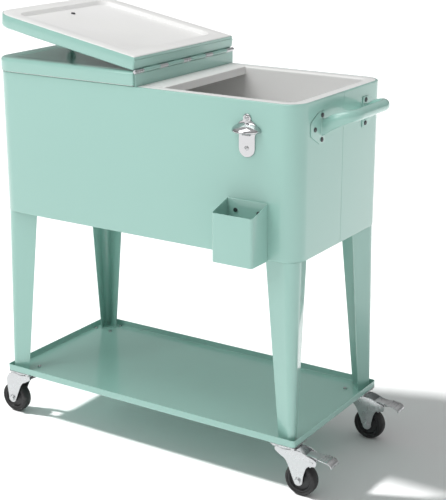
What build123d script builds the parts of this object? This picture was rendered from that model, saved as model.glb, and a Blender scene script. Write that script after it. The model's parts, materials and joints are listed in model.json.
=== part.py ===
"""Patio cooler cart: an insulated chest on four tapered legs, a shelf tray and four swivel casters.

Millimetres, +Z up, floor at z = 0. Everything is drawn about the middle of the chest in plan, and
save() moves it so that the origin is under the middle of the whole cart's bounding box.
"""

import os
from math import atan2, cos, sin, sqrt

from build123d import *

# ---- driving dimensions -------------------------------------------------------------------------
SHIFT = (-7.34, 28.75, 0.0)  # chest middle to bounding box middle

BODY_W, BODY_D, BODY_H = 795.0, 385.0, 330.0  # sheet metal chest
CORNER_R = 42.0
SHEET = 1.2
HEM = 4.0  # width of the folded top edge
LINER_T = 2.0
FLANGE_T = 3.0
FOAM_WALL, FOAM_FLOOR = 25.0, 28.0
CAVITY_R = 22.0

TRAY_Z = 118.0  # underside of the shelf tray
TRAY_W, TRAY_D, TRAY_H, TRAY_T, TRAY_R = 805.0, 394.0, 17.0, 1.5, 7.0
BODY_Z = TRAY_Z + 409.0
RIM_Z = BODY_Z + BODY_H

LID_GAP = 2.0  # lid skirt above the rim
LID_H = 30.0
LID_OVER = 2.5  # skirt overhang outside the chest
LID_EDGE_R = 8.0
LID_OPEN = 169.6  # right lid folded back over the left one
PANEL_INSET, PANEL_DEPTH = 34.0, 1.6
PIN_Z = RIM_Z + LID_GAP + LID_H  # hinge axis lies in the plane of the lid tops
PIN_R, KNUCKLE_R, RUN_FIT = 2.5, 4.5, 0.05
KNUCKLES, KNUCKLE_GAP = 13, 0.6
HINGE_L = 389.0
LEAF_X, LEAF_T = 5.2, 1.5  # leaf's outer face to hinge axis
WEB_TOP = PIN_Z - KNUCKLE_R - 0.6
WEB_FOOT_X, WEB_FOOT_W, WEB_FOOT_Y = -8.25, 18.0, 150.0
WEB_SCREWS = (-130.0, -45.0, 45.0, 130.0)
KNOB_X, KNOB_H = 329.0, 30.0

BEAM_W, BEAM_H, BEAM_T = 110.0, 18.0, 3.0

LEG_T = 2.0
# half width, inner edge, fold line and tip of the V section, out along the corner's diagonal
LEG_TOP = (44.8, -78.0, 8.0, -18.2)
LEG_FOOT = (20.3, -43.5, 5.0, -9.0)
LEG_BOLT = -52.0

HANDLE_DROP = 58.0  # plate centre below the rim
HANDLE_REACH, GRIP_HALF, GRIP_R = 62.0, 62.0, 12.0
GRIP_DROP = 33.0
HANDLE_PLATE_T = 2.0
HANDLE_SCREWS = ((99.0, 32.5), (128.0, 58.3), (99.0, 83.5))  # from the middle, below the rim

OPENER_X, OPENER_T = 279.0, 3.5
OPENER_TOP, OPENER_LOW = RIM_Z - 35.9, RIM_Z - 97.8  # screw heights
CATCHER_X, CATCHER_W, CATCHER_REACH = 280.0, 98.0, 62.0
CATCHER_TOP, CATCHER_DIP, CATCHER_BOTTOM = 208.0, 19.0, 333.0  # all below the rim

CASTER_X, CASTER_Y = 372.0, 166.0
PLATE, RACE_R, STUD_R = 60.0, 26.0, 6.0
BOLT_R, BOLT_GRID = 3.0, 46.0  # caster bolts, on a square
WHEEL_R, TYRE_T, TREAD = 37.5, 9.0, 25.0
TRAIL = 34.0
AXLE_R = 4.0
PIVOT = (66.0, -30.0)  # brake pedal pin, from the swivel axis and the tray underside

DRAIN_R, DRAIN_Y, DRAIN_Z = 10.0, 0.0, BODY_Z + 46.0

FRONT_Y = -BODY_D / 2
END_X = BODY_W / 2
UP, DOWN = (Align.CENTER, Align.CENTER, Align.MIN), (Align.CENTER, Align.CENTER, Align.MAX)

os.makedirs("parts", exist_ok=True)


def save(piece, name):
    """Label a finished piece, put it in the cart's frame and write its STEP file."""
    piece.part = piece.part.moved(Location(SHIFT))
    piece.part.label = name
    export_step(piece.part, f"parts/{name}.step")


# ---- chest --------------------------------------------------------------------------------------
def shell_half(side):
    """Front (-1) or rear (+1) half of the folded shell, with its top hem and the drain hole."""
    with BuildPart() as half:
        with BuildSketch(Plane.XY.offset(BODY_Z)):
            RectangleRounded(BODY_W, BODY_D, CORNER_R)
            RectangleRounded(BODY_W - 2 * SHEET, BODY_D - 2 * SHEET, CORNER_R - SHEET, mode=Mode.SUBTRACT)
        extrude(amount=BODY_H)
        with BuildSketch(Plane.XY.offset(RIM_Z - SHEET)):
            RectangleRounded(BODY_W, BODY_D, CORNER_R)
            RectangleRounded(BODY_W - 2 * HEM, BODY_D - 2 * HEM, CORNER_R - HEM, mode=Mode.SUBTRACT)
        extrude(amount=SHEET)
        with Locations((-END_X, DRAIN_Y, DRAIN_Z)):
            Cylinder(DRAIN_R + 0.1, 8 * SHEET, rotation=(0, 90, 0), mode=Mode.SUBTRACT)
        seam = Plane.XZ.offset(-0.1 * side)
        split(bisect_by=seam, keep=Keep.TOP if side < 0 else Keep.BOTTOM)
    return half


save(shell_half(-1), "shell_front")
save(shell_half(1), "shell_rear")

IN_W, IN_D, IN_R = BODY_W - 2 * SHEET, BODY_D - 2 * SHEET, CORNER_R - SHEET
with BuildPart() as bottom_panel:
    with BuildSketch(Plane.XY.offset(BODY_Z)):
        RectangleRounded(IN_W - 0.4, IN_D - 0.4, IN_R - 0.2)
    extrude(amount=SHEET)
save(bottom_panel, "bottom_panel")

TUB_W, TUB_D = IN_W - 2 * FOAM_WALL, IN_D - 2 * FOAM_WALL  # outside of the liner tub
TUB_Z = BODY_Z + SHEET + FOAM_FLOOR
with BuildPart() as insulation:
    with BuildSketch(Plane.XY.offset(BODY_Z + SHEET)):
        RectangleRounded(IN_W, IN_D, IN_R)
    extrude(amount=BODY_H - SHEET - FLANGE_T)
    with BuildSketch(Plane.XY.offset(TUB_Z)):
        RectangleRounded(TUB_W, TUB_D, CAVITY_R + LINER_T)
    extrude(amount=BODY_H, mode=Mode.SUBTRACT)
    with Locations((-END_X + 15, DRAIN_Y, DRAIN_Z)):
        Cylinder(DRAIN_R + 0.1, 60, rotation=(0, 90, 0), mode=Mode.SUBTRACT)
save(insulation, "insulation")

with BuildPart() as liner_tub:
    with BuildSketch(Plane.XY.offset(TUB_Z)):
        RectangleRounded(TUB_W, TUB_D, CAVITY_R + LINER_T)
    extrude(amount=RIM_Z - TUB_Z)
    with BuildSketch(Plane.XY.offset(RIM_Z - FLANGE_T)):
        RectangleRounded(BODY_W - 2 * HEM - 0.6, BODY_D - 2 * HEM - 0.6, CORNER_R - HEM - 0.3)
    extrude(amount=FLANGE_T)
    with BuildSketch(Plane.XY.offset(TUB_Z + LINER_T)):
        RectangleRounded(TUB_W - 2 * LINER_T, TUB_D - 2 * LINER_T, CAVITY_R)
    extrude(amount=BODY_H, mode=Mode.SUBTRACT)
    with Locations((-TUB_W / 2, DRAIN_Y, DRAIN_Z)):
        Cylinder(DRAIN_R + 0.1, 12, rotation=(0, 90, 0), mode=Mode.SUBTRACT)
save(liner_tub, "liner_tub")

CAV_W, CAV_D = TUB_W - 2 * LINER_T, TUB_D - 2 * LINER_T
with BuildPart() as centre_beam:
    with BuildSketch(Plane.XY.offset(RIM_Z - BEAM_H)):
        Rectangle(BEAM_W, CAV_D)
    extrude(amount=BEAM_H)
    fillet(centre_beam.edges().filter_by(Axis.Y).group_by(Axis.Z)[-1], 2.0)
    with BuildSketch(Plane.XY.offset(RIM_Z - BEAM_H)):
        Rectangle(BEAM_W - 2 * BEAM_T, CAV_D - 2 * BEAM_T)
    extrude(amount=BEAM_H - BEAM_T, mode=Mode.SUBTRACT)
    with Locations((WEB_FOOT_X, 0, RIM_Z)):
        Box(WEB_FOOT_W + 0.2, 2 * WEB_FOOT_Y + 0.2, LEAF_T, align=DOWN, mode=Mode.SUBTRACT)
    with Locations(*[(WEB_FOOT_X, y, RIM_Z) for y in WEB_SCREWS]):
        Cylinder(1.9, 20, mode=Mode.SUBTRACT)
save(centre_beam, "centre_beam")

# ---- drain --------------------------------------------------------------------------------------
SPOUT_BORE = 6.5
with BuildPart() as drain_spout:
    with Locations(Location((-END_X, DRAIN_Y, DRAIN_Z), (0, -90, 0))):
        Cylinder(DRAIN_R + 6, 3, align=UP)
        Cylinder(DRAIN_R, 24, align=UP)
    with Locations(Location((-END_X, DRAIN_Y, DRAIN_Z), (0, 90, 0))):
        Cylinder(DRAIN_R, 44, align=UP)
    with Locations((-END_X, DRAIN_Y, DRAIN_Z)):
        Cylinder(SPOUT_BORE, 120, rotation=(0, 90, 0), mode=Mode.SUBTRACT)
save(drain_spout, "drain_spout")

with BuildPart() as drain_nut:
    with BuildSketch(Plane.YZ.offset(-CAV_W / 2)):
        with Locations((DRAIN_Y, DRAIN_Z)):
            RegularPolygon(DRAIN_R + 5, 6)
            Circle(DRAIN_R + 0.05, mode=Mode.SUBTRACT)
    extrude(amount=6)
save(drain_nut, "drain_nut")

CAP_X = -END_X - 3.4  # cap's mouth, just clear of the spout's flange
with BuildPart() as drain_cap:
    with Locations(Location((CAP_X, DRAIN_Y, DRAIN_Z), (0, -90, 0))):
        Cylinder(DRAIN_R + 3.4, 24, align=UP)
        Cylinder(DRAIN_R + 0.4, 21, align=UP, mode=Mode.SUBTRACT)
    rim = drain_cap.edges().filter_by(GeomType.CIRCLE).group_by(Axis.X)[0]
    fillet(rim, 1.5)
    with Locations(Location((CAP_X - 12, DRAIN_Y, DRAIN_Z), (0, -90, 0))):
        with PolarLocations(DRAIN_R + 3.6, 12):
            Cylinder(0.9, 20, mode=Mode.SUBTRACT)
save(drain_cap, "drain_cap")

# ---- centre hinge -------------------------------------------------------------------------------
PITCH = HINGE_L / KNUCKLES
HINGE_AXIS = Axis((0, 0, PIN_Z), (0, 1, 0))


def knuckle_spots(turn):
    """Centres along Y of every third knuckle, starting with number turn."""
    return [-HINGE_L / 2 + PITCH * (i + 0.5) for i in range(turn, KNUCKLES, 3)]


def barrels(turn, tail_x, tail_z):
    """Every third hinge barrel, each with a tail that runs from tail_z up to the barrel."""
    with BuildPart() as rings:
        for y in knuckle_spots(turn):
            length = PITCH - KNUCKLE_GAP
            with Locations((tail_x, y, (tail_z + PIN_Z - 1) / 2)):
                Box(LEAF_T, length, PIN_Z - 1 - tail_z)
            with Locations((0, y, PIN_Z)):
                Cylinder(KNUCKLE_R, length, rotation=(90, 0, 0))
        with Locations((0, 0, PIN_Z)):
            Cylinder(PIN_R + RUN_FIT, HINGE_L + 2, rotation=(90, 0, 0), mode=Mode.SUBTRACT)
    return rings


with BuildPart() as centre_web:
    with Locations((0, 0, RIM_Z)):
        Box(LEAF_T, HINGE_L, WEB_TOP - RIM_Z, align=UP)
    with Locations((WEB_FOOT_X, 0, RIM_Z)):
        Box(WEB_FOOT_W, 2 * WEB_FOOT_Y, LEAF_T, align=DOWN)
    with Locations(*[(WEB_FOOT_X, y, RIM_Z) for y in WEB_SCREWS]):
        Cylinder(2.0, 10, mode=Mode.SUBTRACT)
save(centre_web, "centre_web")

save(barrels(0, 0, WEB_TOP), "web_barrels")

with BuildPart() as web_screws:
    with Locations(*[(WEB_FOOT_X, y, RIM_Z) for y in WEB_SCREWS]):
        Cylinder(1.9, 10, align=DOWN)
    with Locations(*[(WEB_FOOT_X, y, RIM_Z - BEAM_T) for y in WEB_SCREWS]):
        Cylinder(3.4, 2.4, align=DOWN)
save(web_screws, "web_screws")

with BuildPart() as hinge_pin:
    with Locations((0, 0, PIN_Z)):
        Cylinder(PIN_R, HINGE_L + 1, rotation=(90, 0, 0))
    with Locations(*[(0, s * (HINGE_L / 2 + 1.2), PIN_Z) for s in (-1, 1)]):
        Cylinder(PIN_R + 1.2, 1.6, rotation=(90, 0, 0))
    caps = hinge_pin.edges().filter_by(GeomType.CIRCLE).group_by(Axis.Y)
    fillet(caps[0] + caps[-1], 0.9)
save(hinge_pin, "hinge_pin")


# ---- lids ---------------------------------------------------------------------------------------
LID_Z = RIM_Z + LID_GAP
LID_L = END_X + LID_OVER - LEAF_X  # from the hinge side to the free end
LID_D = BODY_D + 2 * LID_OVER
LID_R = CORNER_R + LID_OVER
LINER_DROP = 1.5  # the white liner stands below the skirt's edge
LINER_LIP, LINER_BAND, LINER_RISE = 2.5, 34.0, 9.5


def lid_outline(inset, z):
    """Sketch of a lid seen from above: square at the hinge, round at the free end."""
    with BuildSketch(Plane.XY.offset(z)) as outline:
        with Locations((LEAF_X + LID_L / 2, 0)):
            Rectangle(LID_L - 2 * inset, LID_D - 2 * inset)
        free = outline.vertices().group_by(Axis.X)[-1]
        near = outline.vertices().group_by(Axis.X)[0]
        fillet(free, max(LID_R - inset, 6))
        fillet(near, max(4 - inset, 1.5))
    return outline.sketch


def lid_block(inset, bottom, top, edge_r):
    """Solid lid shape with its top edge rounded everywhere but along the hinge."""
    with BuildPart() as block:
        add(lid_outline(inset, bottom))
        extrude(amount=top - bottom)
        rim = block.faces().sort_by(Axis.Z)[-1].edges()
        fillet([e for e in rim if e.center().X > LEAF_X + inset + 3], edge_r)
    return block.part


def place_lid(piece, side):
    """Left lid stays shut; right lid is folded back over it about the hinge pin."""
    if side < 0:
        piece.part = piece.part.mirror(Plane.YZ)
    else:
        piece.part = piece.part.rotate(HINGE_AXIS, -LID_OPEN)
    return piece


def lid_cover(side):
    """Painted sheet cover with a skirt all round and a shallow sunk panel on top."""
    outside = lid_block(0, LID_Z, PIN_Z, LID_EDGE_R)
    inside = lid_block(SHEET, LID_Z - 1, PIN_Z - SHEET - PANEL_DEPTH, LID_EDGE_R - SHEET)
    with BuildPart() as cover:
        add(outside)
        add(inside, mode=Mode.SUBTRACT)
        with BuildSketch(Plane.XY.offset(PIN_Z)):
            with Locations((LEAF_X + LID_L / 2, 0)):
                RectangleRounded(LID_L - 2 * PANEL_INSET, LID_D - 2 * PANEL_INSET, 24)
        extrude(amount=-PANEL_DEPTH, taper=45, mode=Mode.SUBTRACT)
        with Locations((KNOB_X, 0, PIN_Z)):
            Cylinder(2.8, 12, mode=Mode.SUBTRACT)
    return place_lid(cover, side)


BAND_Z = LID_Z - LINER_DROP
LINER_TOP = BAND_Z + LINER_RISE + LINER_LIP


def foam_channel():
    """Ring of foam that fills the back of the liner's band."""
    with BuildPart() as ring:
        add(lid_outline(SHEET + 0.3 + LINER_LIP, BAND_Z + LINER_LIP))
        extrude(amount=LINER_RISE)
        with BuildSketch(Plane.XY.offset(BAND_Z + LINER_LIP)):
            with Locations((LEAF_X + LID_L / 2, 0)):
                inset = LINER_BAND - LINER_LIP
                RectangleRounded(LID_L - 2 * inset, LID_D - 2 * inset, 28)
        extrude(amount=LINER_RISE, mode=Mode.SUBTRACT)
    return ring.part


def lid_liner(side):
    """White moulding: flat band round a recessed panel, a channel for foam behind the band."""
    channel = foam_channel()
    with BuildPart() as moulding:
        add(lid_outline(SHEET + 0.3, BAND_Z))
        extrude(amount=LINER_TOP - BAND_Z)
        with BuildSketch(Plane.XY.offset(BAND_Z)):
            with Locations((LEAF_X + LID_L / 2, 0)):
                RectangleRounded(LID_L - 2 * LINER_BAND, LID_D - 2 * LINER_BAND, 26)
        extrude(amount=LINER_RISE, taper=40, mode=Mode.SUBTRACT)
        add(channel, mode=Mode.SUBTRACT)
        with Locations((KNOB_X, 0, LINER_TOP)):
            Cylinder(2.8, 12, mode=Mode.SUBTRACT)
    return place_lid(moulding, side)


def lid_foam(side):
    """Sealed foam slab between the cover and the liner."""
    slab = lid_block(SHEET + 0.3, LINER_TOP, PIN_Z - SHEET - PANEL_DEPTH, LID_EDGE_R - SHEET)
    channel = foam_channel()
    with BuildPart() as foam:
        add(slab)
        add(channel)
        with Locations((KNOB_X, 0, PIN_Z - 12)):
            Cylinder(2.8, 40, mode=Mode.SUBTRACT)
    return place_lid(foam, side)


def knob(side):
    """Turned metal pull: collar, waisted stem and a domed head."""
    base = PIN_Z - PANEL_DEPTH
    with BuildPart() as pull:
        with BuildSketch(Plane.XZ):
            with BuildLine():
                Polyline((0, base), (9, base), (9, base + 3))
                Spline((9, base + 3), (6.8, base + 7), (8.5, base + 11.5), (19, base + 17.5))
                Line((19, base + 17.5), (19, base + 19.5))
                Spline((19, base + 19.5), (14, base + 26), (0, base + KNOB_H), tangents=[(-0.2, 1), (-1, 0)])
                Line((0, base + KNOB_H), (0, base))
            make_face()
        revolve(axis=Axis.Z)
        with Locations((0, 0, base)):
            Cylinder(2.5, 16, align=UP, mode=Mode.SUBTRACT)
    pull.part = pull.part.moved(Location((KNOB_X, 0, 0)))
    return place_lid(pull, side)


def knob_screw(side):
    """Screw from inside the lid into the knob, its head on the liner."""
    head_z = BAND_Z + LINER_RISE
    with BuildPart() as screw:
        with Locations((KNOB_X, 0, head_z)):
            Cylinder(5.0, 3.0, align=DOWN)
            Cylinder(2.5, 32, align=UP)
        fillet(screw.edges().filter_by(GeomType.CIRCLE).group_by(Axis.Z)[0], 1.4)
        with Locations((KNOB_X, 0, head_z - 3)):
            Box(6, 1, 2, mode=Mode.SUBTRACT)
            Box(1, 6, 2, mode=Mode.SUBTRACT)
    return place_lid(screw, side)


def lid_leaf(side):
    """Hinge leaf on the lid's hinge side, under the barrels that belong to that lid."""
    rings = barrels(1 if side < 0 else 2, LEAF_X - LEAF_T / 2, WEB_TOP - 1).part
    with BuildPart() as leaf:
        with Locations((LEAF_X - LEAF_T / 2, 0, WEB_TOP)):
            Box(LEAF_T, HINGE_L, 19, align=DOWN)
        add(rings)
    return place_lid(leaf, side)


for side, hand in ((-1, "left"), (1, "right")):
    save(lid_cover(side), f"{hand}_lid_cover")
    save(lid_liner(side), f"{hand}_lid_liner")
    save(lid_foam(side), f"{hand}_lid_foam")
    save(lid_leaf(side), f"{hand}_hinge_leaf")
    save(knob(side), f"{hand}_knob")
    save(knob_screw(side), f"{hand}_knob_screw")


# ---- end handles --------------------------------------------------------------------------------
def handle():
    """Tubular grip with a flared horn and a chamfered mounting plate at each end."""
    middle, bar_z = RIM_Z - HANDLE_DROP, RIM_Z - GRIP_DROP
    with BuildPart() as grip:
        with Locations((END_X + HANDLE_REACH, 0, bar_z)):
            Cylinder(GRIP_R, 2 * GRIP_HALF, rotation=(90, 0, 0))
        for s in (-1, 1):
            with BuildSketch(Plane.YZ.offset(END_X)):
                with BuildLine():
                    Polyline(
                        (s * 86, middle + 33), (s * 112, middle + 33), (s * 145, middle + 16),
                        (s * 145, middle - 12), (s * 108, middle - 34), (s * 86, middle - 34), close=True,
                    )
                make_face()
                with Locations(*[(s * y, RIM_Z - drop) for y, drop in HANDLE_SCREWS]):
                    Circle(2.6, mode=Mode.SUBTRACT)
            extrude(amount=HANDLE_PLATE_T)
            horn = (
                ((END_X + 1, s * 95, middle), (1, 0, 0), 17, 6.5),
                ((END_X + 23, s * 93, bar_z - 15), (1, -0.25 * s, 0), 17, 9),
                ((END_X + 48, s * 85, bar_z - 4), (1, -s, 0), 14, 11),
                ((END_X + HANDLE_REACH, s * GRIP_HALF, bar_z), (0, -s, 0), GRIP_R, GRIP_R),
            )
            for middle_of, facing, tall, thick in horn:
                with BuildSketch(Plane(middle_of, x_dir=(0, 0, 1), z_dir=facing)):
                    Ellipse(tall, thick)
            loft()
    return grip


def handle_screws():
    """Six pan-head screws for each handle, with a cross recess."""
    with BuildPart() as screws:
        for s in (-1, 1):
            for y, drop in HANDLE_SCREWS:
                for t in (-1, 1):
                    head = Location((s * (END_X + HANDLE_PLATE_T), t * y, RIM_Z - drop), (0, 90 * s, 0))
                    with Locations(head):
                        Cylinder(5.0, 2.6, align=UP)
                        Cylinder(2.4, 12, align=DOWN)
                        with Locations((0, 0, 2.6)):
                            Box(6, 1, 3, mode=Mode.SUBTRACT)
                            Box(1, 6, 3, mode=Mode.SUBTRACT)
    return screws


right_handle, left_handle = handle(), handle()
left_handle.part = left_handle.part.mirror(Plane.YZ)
save(right_handle, "right_handle")
save(left_handle, "left_handle")
save(handle_screws(), "handle_screws")

# ---- bottle opener and cap catcher on the front -------------------------------------------------
def half_ellipse(z, wide, reach):
    """Half of an ellipse that stands out from the chest's front."""
    with BuildSketch(Plane.XY.offset(z)) as outline:
        with Locations((OPENER_X, FRONT_Y)):
            Ellipse(wide, reach)
        with Locations((OPENER_X, FRONT_Y + reach)):
            Rectangle(3 * wide, 2 * reach, mode=Mode.SUBTRACT)
    return outline.sketch


with BuildPart() as bottle_opener:
    # hollow hood: level below the rim, half width and reach of its outside and of its inside
    hood_out = ((64.0, 31.0, 29.0), (57.0, 33.0, 31.0), (45.0, 13.0, 7.0))
    hood_in = ((64.5, 27.5, 25.5), (58.0, 29.5, 27.5), (48.0, 9.0, 4.4))
    for levels, mode in ((hood_out, Mode.ADD), (hood_in, Mode.SUBTRACT)):
        for drop, wide, reach in levels:
            add(half_ellipse(RIM_Z - drop, wide, reach))
        loft(ruled=True, mode=mode)
    with BuildSketch(Plane.XZ.offset(-FRONT_Y)):
        with Locations((OPENER_X, OPENER_TOP)):
            Circle(9)
        with Locations((OPENER_X, RIM_Z - 58)):
            Ellipse(24, 18)
        with Locations((OPENER_X, (RIM_Z - 58 + OPENER_LOW) / 2)):
            Rectangle(38, RIM_Z - 58 - OPENER_LOW)
        with Locations((OPENER_X, OPENER_LOW)):
            Circle(19)
    extrude(amount=OPENER_T)
    with Locations((OPENER_X, FRONT_Y - 6, RIM_Z - 70)):
        Box(18, 8, 3.2)  # tooth that catches under a cap's skirt
    with Locations(*[(OPENER_X, FRONT_Y, z) for z in (OPENER_TOP, OPENER_LOW)]):
        Cylinder(2.6, 20, rotation=(90, 0, 0), mode=Mode.SUBTRACT)
save(bottle_opener, "bottle_opener")

with BuildPart() as opener_screws:
    for z in (OPENER_TOP, OPENER_LOW):
        with Locations(Location((OPENER_X, FRONT_Y - OPENER_T, z), (90, 0, 0))):
            Cylinder(4.8, 2.4, align=UP)
            Cylinder(2.4, 14, align=DOWN)
            with Locations((0, 0, 2.4)):
                Box(6, 1, 3, mode=Mode.SUBTRACT)
                Box(1, 6, 3, mode=Mode.SUBTRACT)
save(opener_screws, "opener_screws")

with BuildPart() as cap_catcher:
    low, back, front = RIM_Z - CATCHER_BOTTOM, RIM_Z - CATCHER_TOP, RIM_Z - CATCHER_TOP - CATCHER_DIP
    with BuildSketch(Plane.YZ.offset(CATCHER_X - CATCHER_W / 2)):
        with BuildLine():
            Polyline(
                (FRONT_Y, low), (FRONT_Y, back), (FRONT_Y - CATCHER_REACH, front),
                (FRONT_Y - CATCHER_REACH, low), close=True,
            )
        make_face()
    extrude(amount=CATCHER_W)
    fillet(cap_catcher.edges().filter_by(Axis.Z).group_by(Axis.Y)[0], 5)
    with BuildSketch(Plane.XY.offset(low + SHEET)) as mouth:
        with Locations((CATCHER_X, FRONT_Y - CATCHER_REACH / 2)):
            Rectangle(CATCHER_W - 2 * SHEET, CATCHER_REACH - 2 * SHEET)
        fillet(mouth.vertices().group_by(Axis.Y)[0], 5 - SHEET)
    extrude(amount=200, mode=Mode.SUBTRACT)
    with Locations(*[(CATCHER_X + s * 28, FRONT_Y, back - 24) for s in (-1, 1)]):
        Cylinder(2.4, 8, rotation=(90, 0, 0), mode=Mode.SUBTRACT)
save(cap_catcher, "cap_catcher")

with BuildPart() as catcher_screws:
    for s in (-1, 1):
        with Locations(Location((CATCHER_X + s * 28, FRONT_Y - SHEET, back - 24), (90, 0, 0))):
            Cylinder(4.5, 2.2, align=UP)
            Cylinder(2.2, 12, align=DOWN)
save(catcher_screws, "catcher_screws")

# ---- shelf tray and legs ------------------------------------------------------------------------
CORNERS = [(sx, sy) for sx in (-1, 1) for sy in (-1, 1)]
with BuildPart() as tray:
    with BuildSketch(Plane.XY.offset(TRAY_Z)):
        RectangleRounded(TRAY_W, TRAY_D, TRAY_R)
    extrude(amount=TRAY_H)
    with BuildSketch(Plane.XY.offset(TRAY_Z + TRAY_T)):
        RectangleRounded(TRAY_W - 2 * TRAY_T, TRAY_D - 2 * TRAY_T, TRAY_R - TRAY_T)
    extrude(amount=TRAY_H, mode=Mode.SUBTRACT)
    for sx, sy in CORNERS:
        with Locations((sx * CASTER_X, sy * CASTER_Y, TRAY_Z)):
            with GridLocations(BOLT_GRID, BOLT_GRID, 2, 2):
                Cylinder(BOLT_R + 0.1, 8, mode=Mode.SUBTRACT)
save(tray, "tray")


def vee(plane, section, shrink):
    """Closed V outline with a rounded fold, its Y out along the corner's diagonal."""
    half, inner, fold, tip = section
    lean = atan2(half, fold - inner)
    radius = (fold - tip) / (1 / sin(lean) - 1)
    half -= shrink / cos(lean)
    with BuildSketch(plane) as outline:
        with BuildLine():
            Polyline((-half, inner), (0, fold - shrink / sin(lean)), (half, inner), close=True)
        make_face()
        fillet(outline.vertices().sort_by(Axis.Y)[-1], radius - shrink)
    return outline.sketch


def leg(sx, sy):
    """Tapered leg: a folded V sheet, open towards the middle, with a flat foot at each end."""
    foot_z = TRAY_Z + TRAY_T

    def corner(z):
        return Plane((sx * END_X, sy * BODY_D / 2, z), x_dir=(sy, -sx, 0), z_dir=(0, 0, 1))

    with BuildPart() as post:
        for shrink, mode in ((0.0, Mode.ADD), (LEG_T, Mode.SUBTRACT)):
            add(vee(corner(foot_z), LEG_FOOT, shrink))
            add(vee(corner(BODY_Z), LEG_TOP, shrink))
            loft(ruled=True, mode=mode)
        add(vee(corner(BODY_Z), LEG_TOP, 0.8))
        extrude(amount=-LEG_T)
        add(vee(corner(foot_z), LEG_FOOT, 0.8))
        extrude(amount=LEG_T)
        with Locations(corner(BODY_Z)):
            with Locations((0, LEG_BOLT)):
                Cylinder(BOLT_R + 0.1, 12, mode=Mode.SUBTRACT)
    return post


for sx, sy in CORNERS:
    save(leg(sx, sy), ("rear" if sy > 0 else "front") + ("_right" if sx > 0 else "_left") + "_leg")

with BuildPart() as leg_bolts:
    for sx, sy in CORNERS:
        with Locations((sx * (END_X + LEG_BOLT / sqrt(2)), sy * (BODY_D / 2 + LEG_BOLT / sqrt(2)), BODY_Z)):
            Cylinder(BOLT_R, LEG_T + 14)
            with Locations((0, 0, -LEG_T)):
                Cylinder(6.5, 3.5, align=DOWN)
save(leg_bolts, "leg_bolts")

# ---- casters ------------------------------------------------------------------------------------
AXLE_Z = WHEEL_R - TRAY_Z  # from the tray underside
YOKE_IN, YOKE_OUT = 15.5, 18.0


def at_corner(piece, sx, sy):
    """Stand a caster piece under its corner; the left pair trail the other way."""
    turn = 0 if sx > 0 else 180
    piece.part = piece.part.moved(Location((sx * CASTER_X, sy * CASTER_Y, TRAY_Z), (0, 0, turn)))
    return piece


def caster_plates():
    """Top plate of each caster with its pressed bearing cup."""
    with BuildPart() as plates:
        for sx, sy in CORNERS:
            with Locations((sx * CASTER_X, sy * CASTER_Y, TRAY_Z)):
                Box(PLATE, PLATE, 2.5, align=DOWN)
                Cylinder(RACE_R, 8, align=DOWN)
                Cylinder(17, 5, align=DOWN, mode=Mode.SUBTRACT)
                Cylinder(STUD_R + RUN_FIT, 20, mode=Mode.SUBTRACT)
                with GridLocations(BOLT_GRID, BOLT_GRID, 2, 2):
                    Cylinder(BOLT_R + 0.1, 12, mode=Mode.SUBTRACT)
    return plates


def caster_bolts():
    """Domed bolts through the tray and the caster plates, with their nuts."""
    with BuildPart() as bolts:
        for sx, sy in CORNERS:
            with Locations((sx * CASTER_X, sy * CASTER_Y, TRAY_Z)):
                with GridLocations(BOLT_GRID, BOLT_GRID, 2, 2):
                    Cylinder(BOLT_R, 9.5)
                    with Locations((0, 0, TRAY_T)):
                        Cylinder(4.4, 2.6, align=UP)
                    with Locations((0, 0, -2.5)):
                        Cylinder(4.8, 3.6, align=DOWN)
    return bolts


def caster_fork(braked):
    """Swivel head, king stud and the pressed fork, with the brake's bracket where there is one."""
    brow = [(24, -9.5), (TRAIL + 15, -42)]
    if braked:
        brow = [(24, -9.5), (52, -15), (77, -23), (75, -38), (58, -39), (TRAIL + 15, -50)]
    with BuildPart() as fork:
        with BuildSketch(Plane.XZ.offset(-YOKE_OUT)):
            with BuildLine():
                Polyline(
                    (-25, -9.5), *brow, (TRAIL + 10.5, AXLE_Z), (TRAIL - 10.5, AXLE_Z), (-25, -24), close=True
                )
            make_face()
            with Locations((TRAIL, AXLE_Z)):
                Circle(11)
        extrude(amount=2 * YOKE_OUT)
        with Locations((0, 0, -12.4)):
            Box(400, 2 * YOKE_IN, 200, align=DOWN, mode=Mode.SUBTRACT)
        with Locations((0, 0, -8.4)):
            Cylinder(RACE_R - 2, 4, align=DOWN)
        with Locations((0, 0, -10)):
            Cylinder(STUD_R, 8.4, align=UP)
        with Locations((0, 0, -4.7)):
            Cylinder(11, 3.1, align=UP)
        with Locations((TRAIL, 0, AXLE_Z)):
            Cylinder(AXLE_R + RUN_FIT, 60, rotation=(90, 0, 0), mode=Mode.SUBTRACT)
        if braked:
            with Locations((PIVOT[0], 0, PIVOT[1])):
                Cylinder(3, 2 * YOKE_OUT, rotation=(90, 0, 0))
                for s in (-1, 1):
                    with Locations((0, s * (YOKE_OUT + 0.8), 0)):
                        Cylinder(4.2, 1.6, rotation=(90, 0, 0))
    return fork


def axle():
    """Bolt through fork and wheel, hexagon head and nut outside the cheeks."""
    with BuildPart() as bolt:
        with Locations((TRAIL, 0, AXLE_Z)):
            Cylinder(AXLE_R, 2 * YOKE_OUT + 3, rotation=(90, 0, 0))
        for s in (-1, 1):
            with BuildSketch(Plane.XZ.offset(s * YOKE_OUT)):
                with Locations((TRAIL, AXLE_Z)):
                    RegularPolygon(7.2, 6)
            extrude(amount=s * 4.5)
    return bolt


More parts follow.
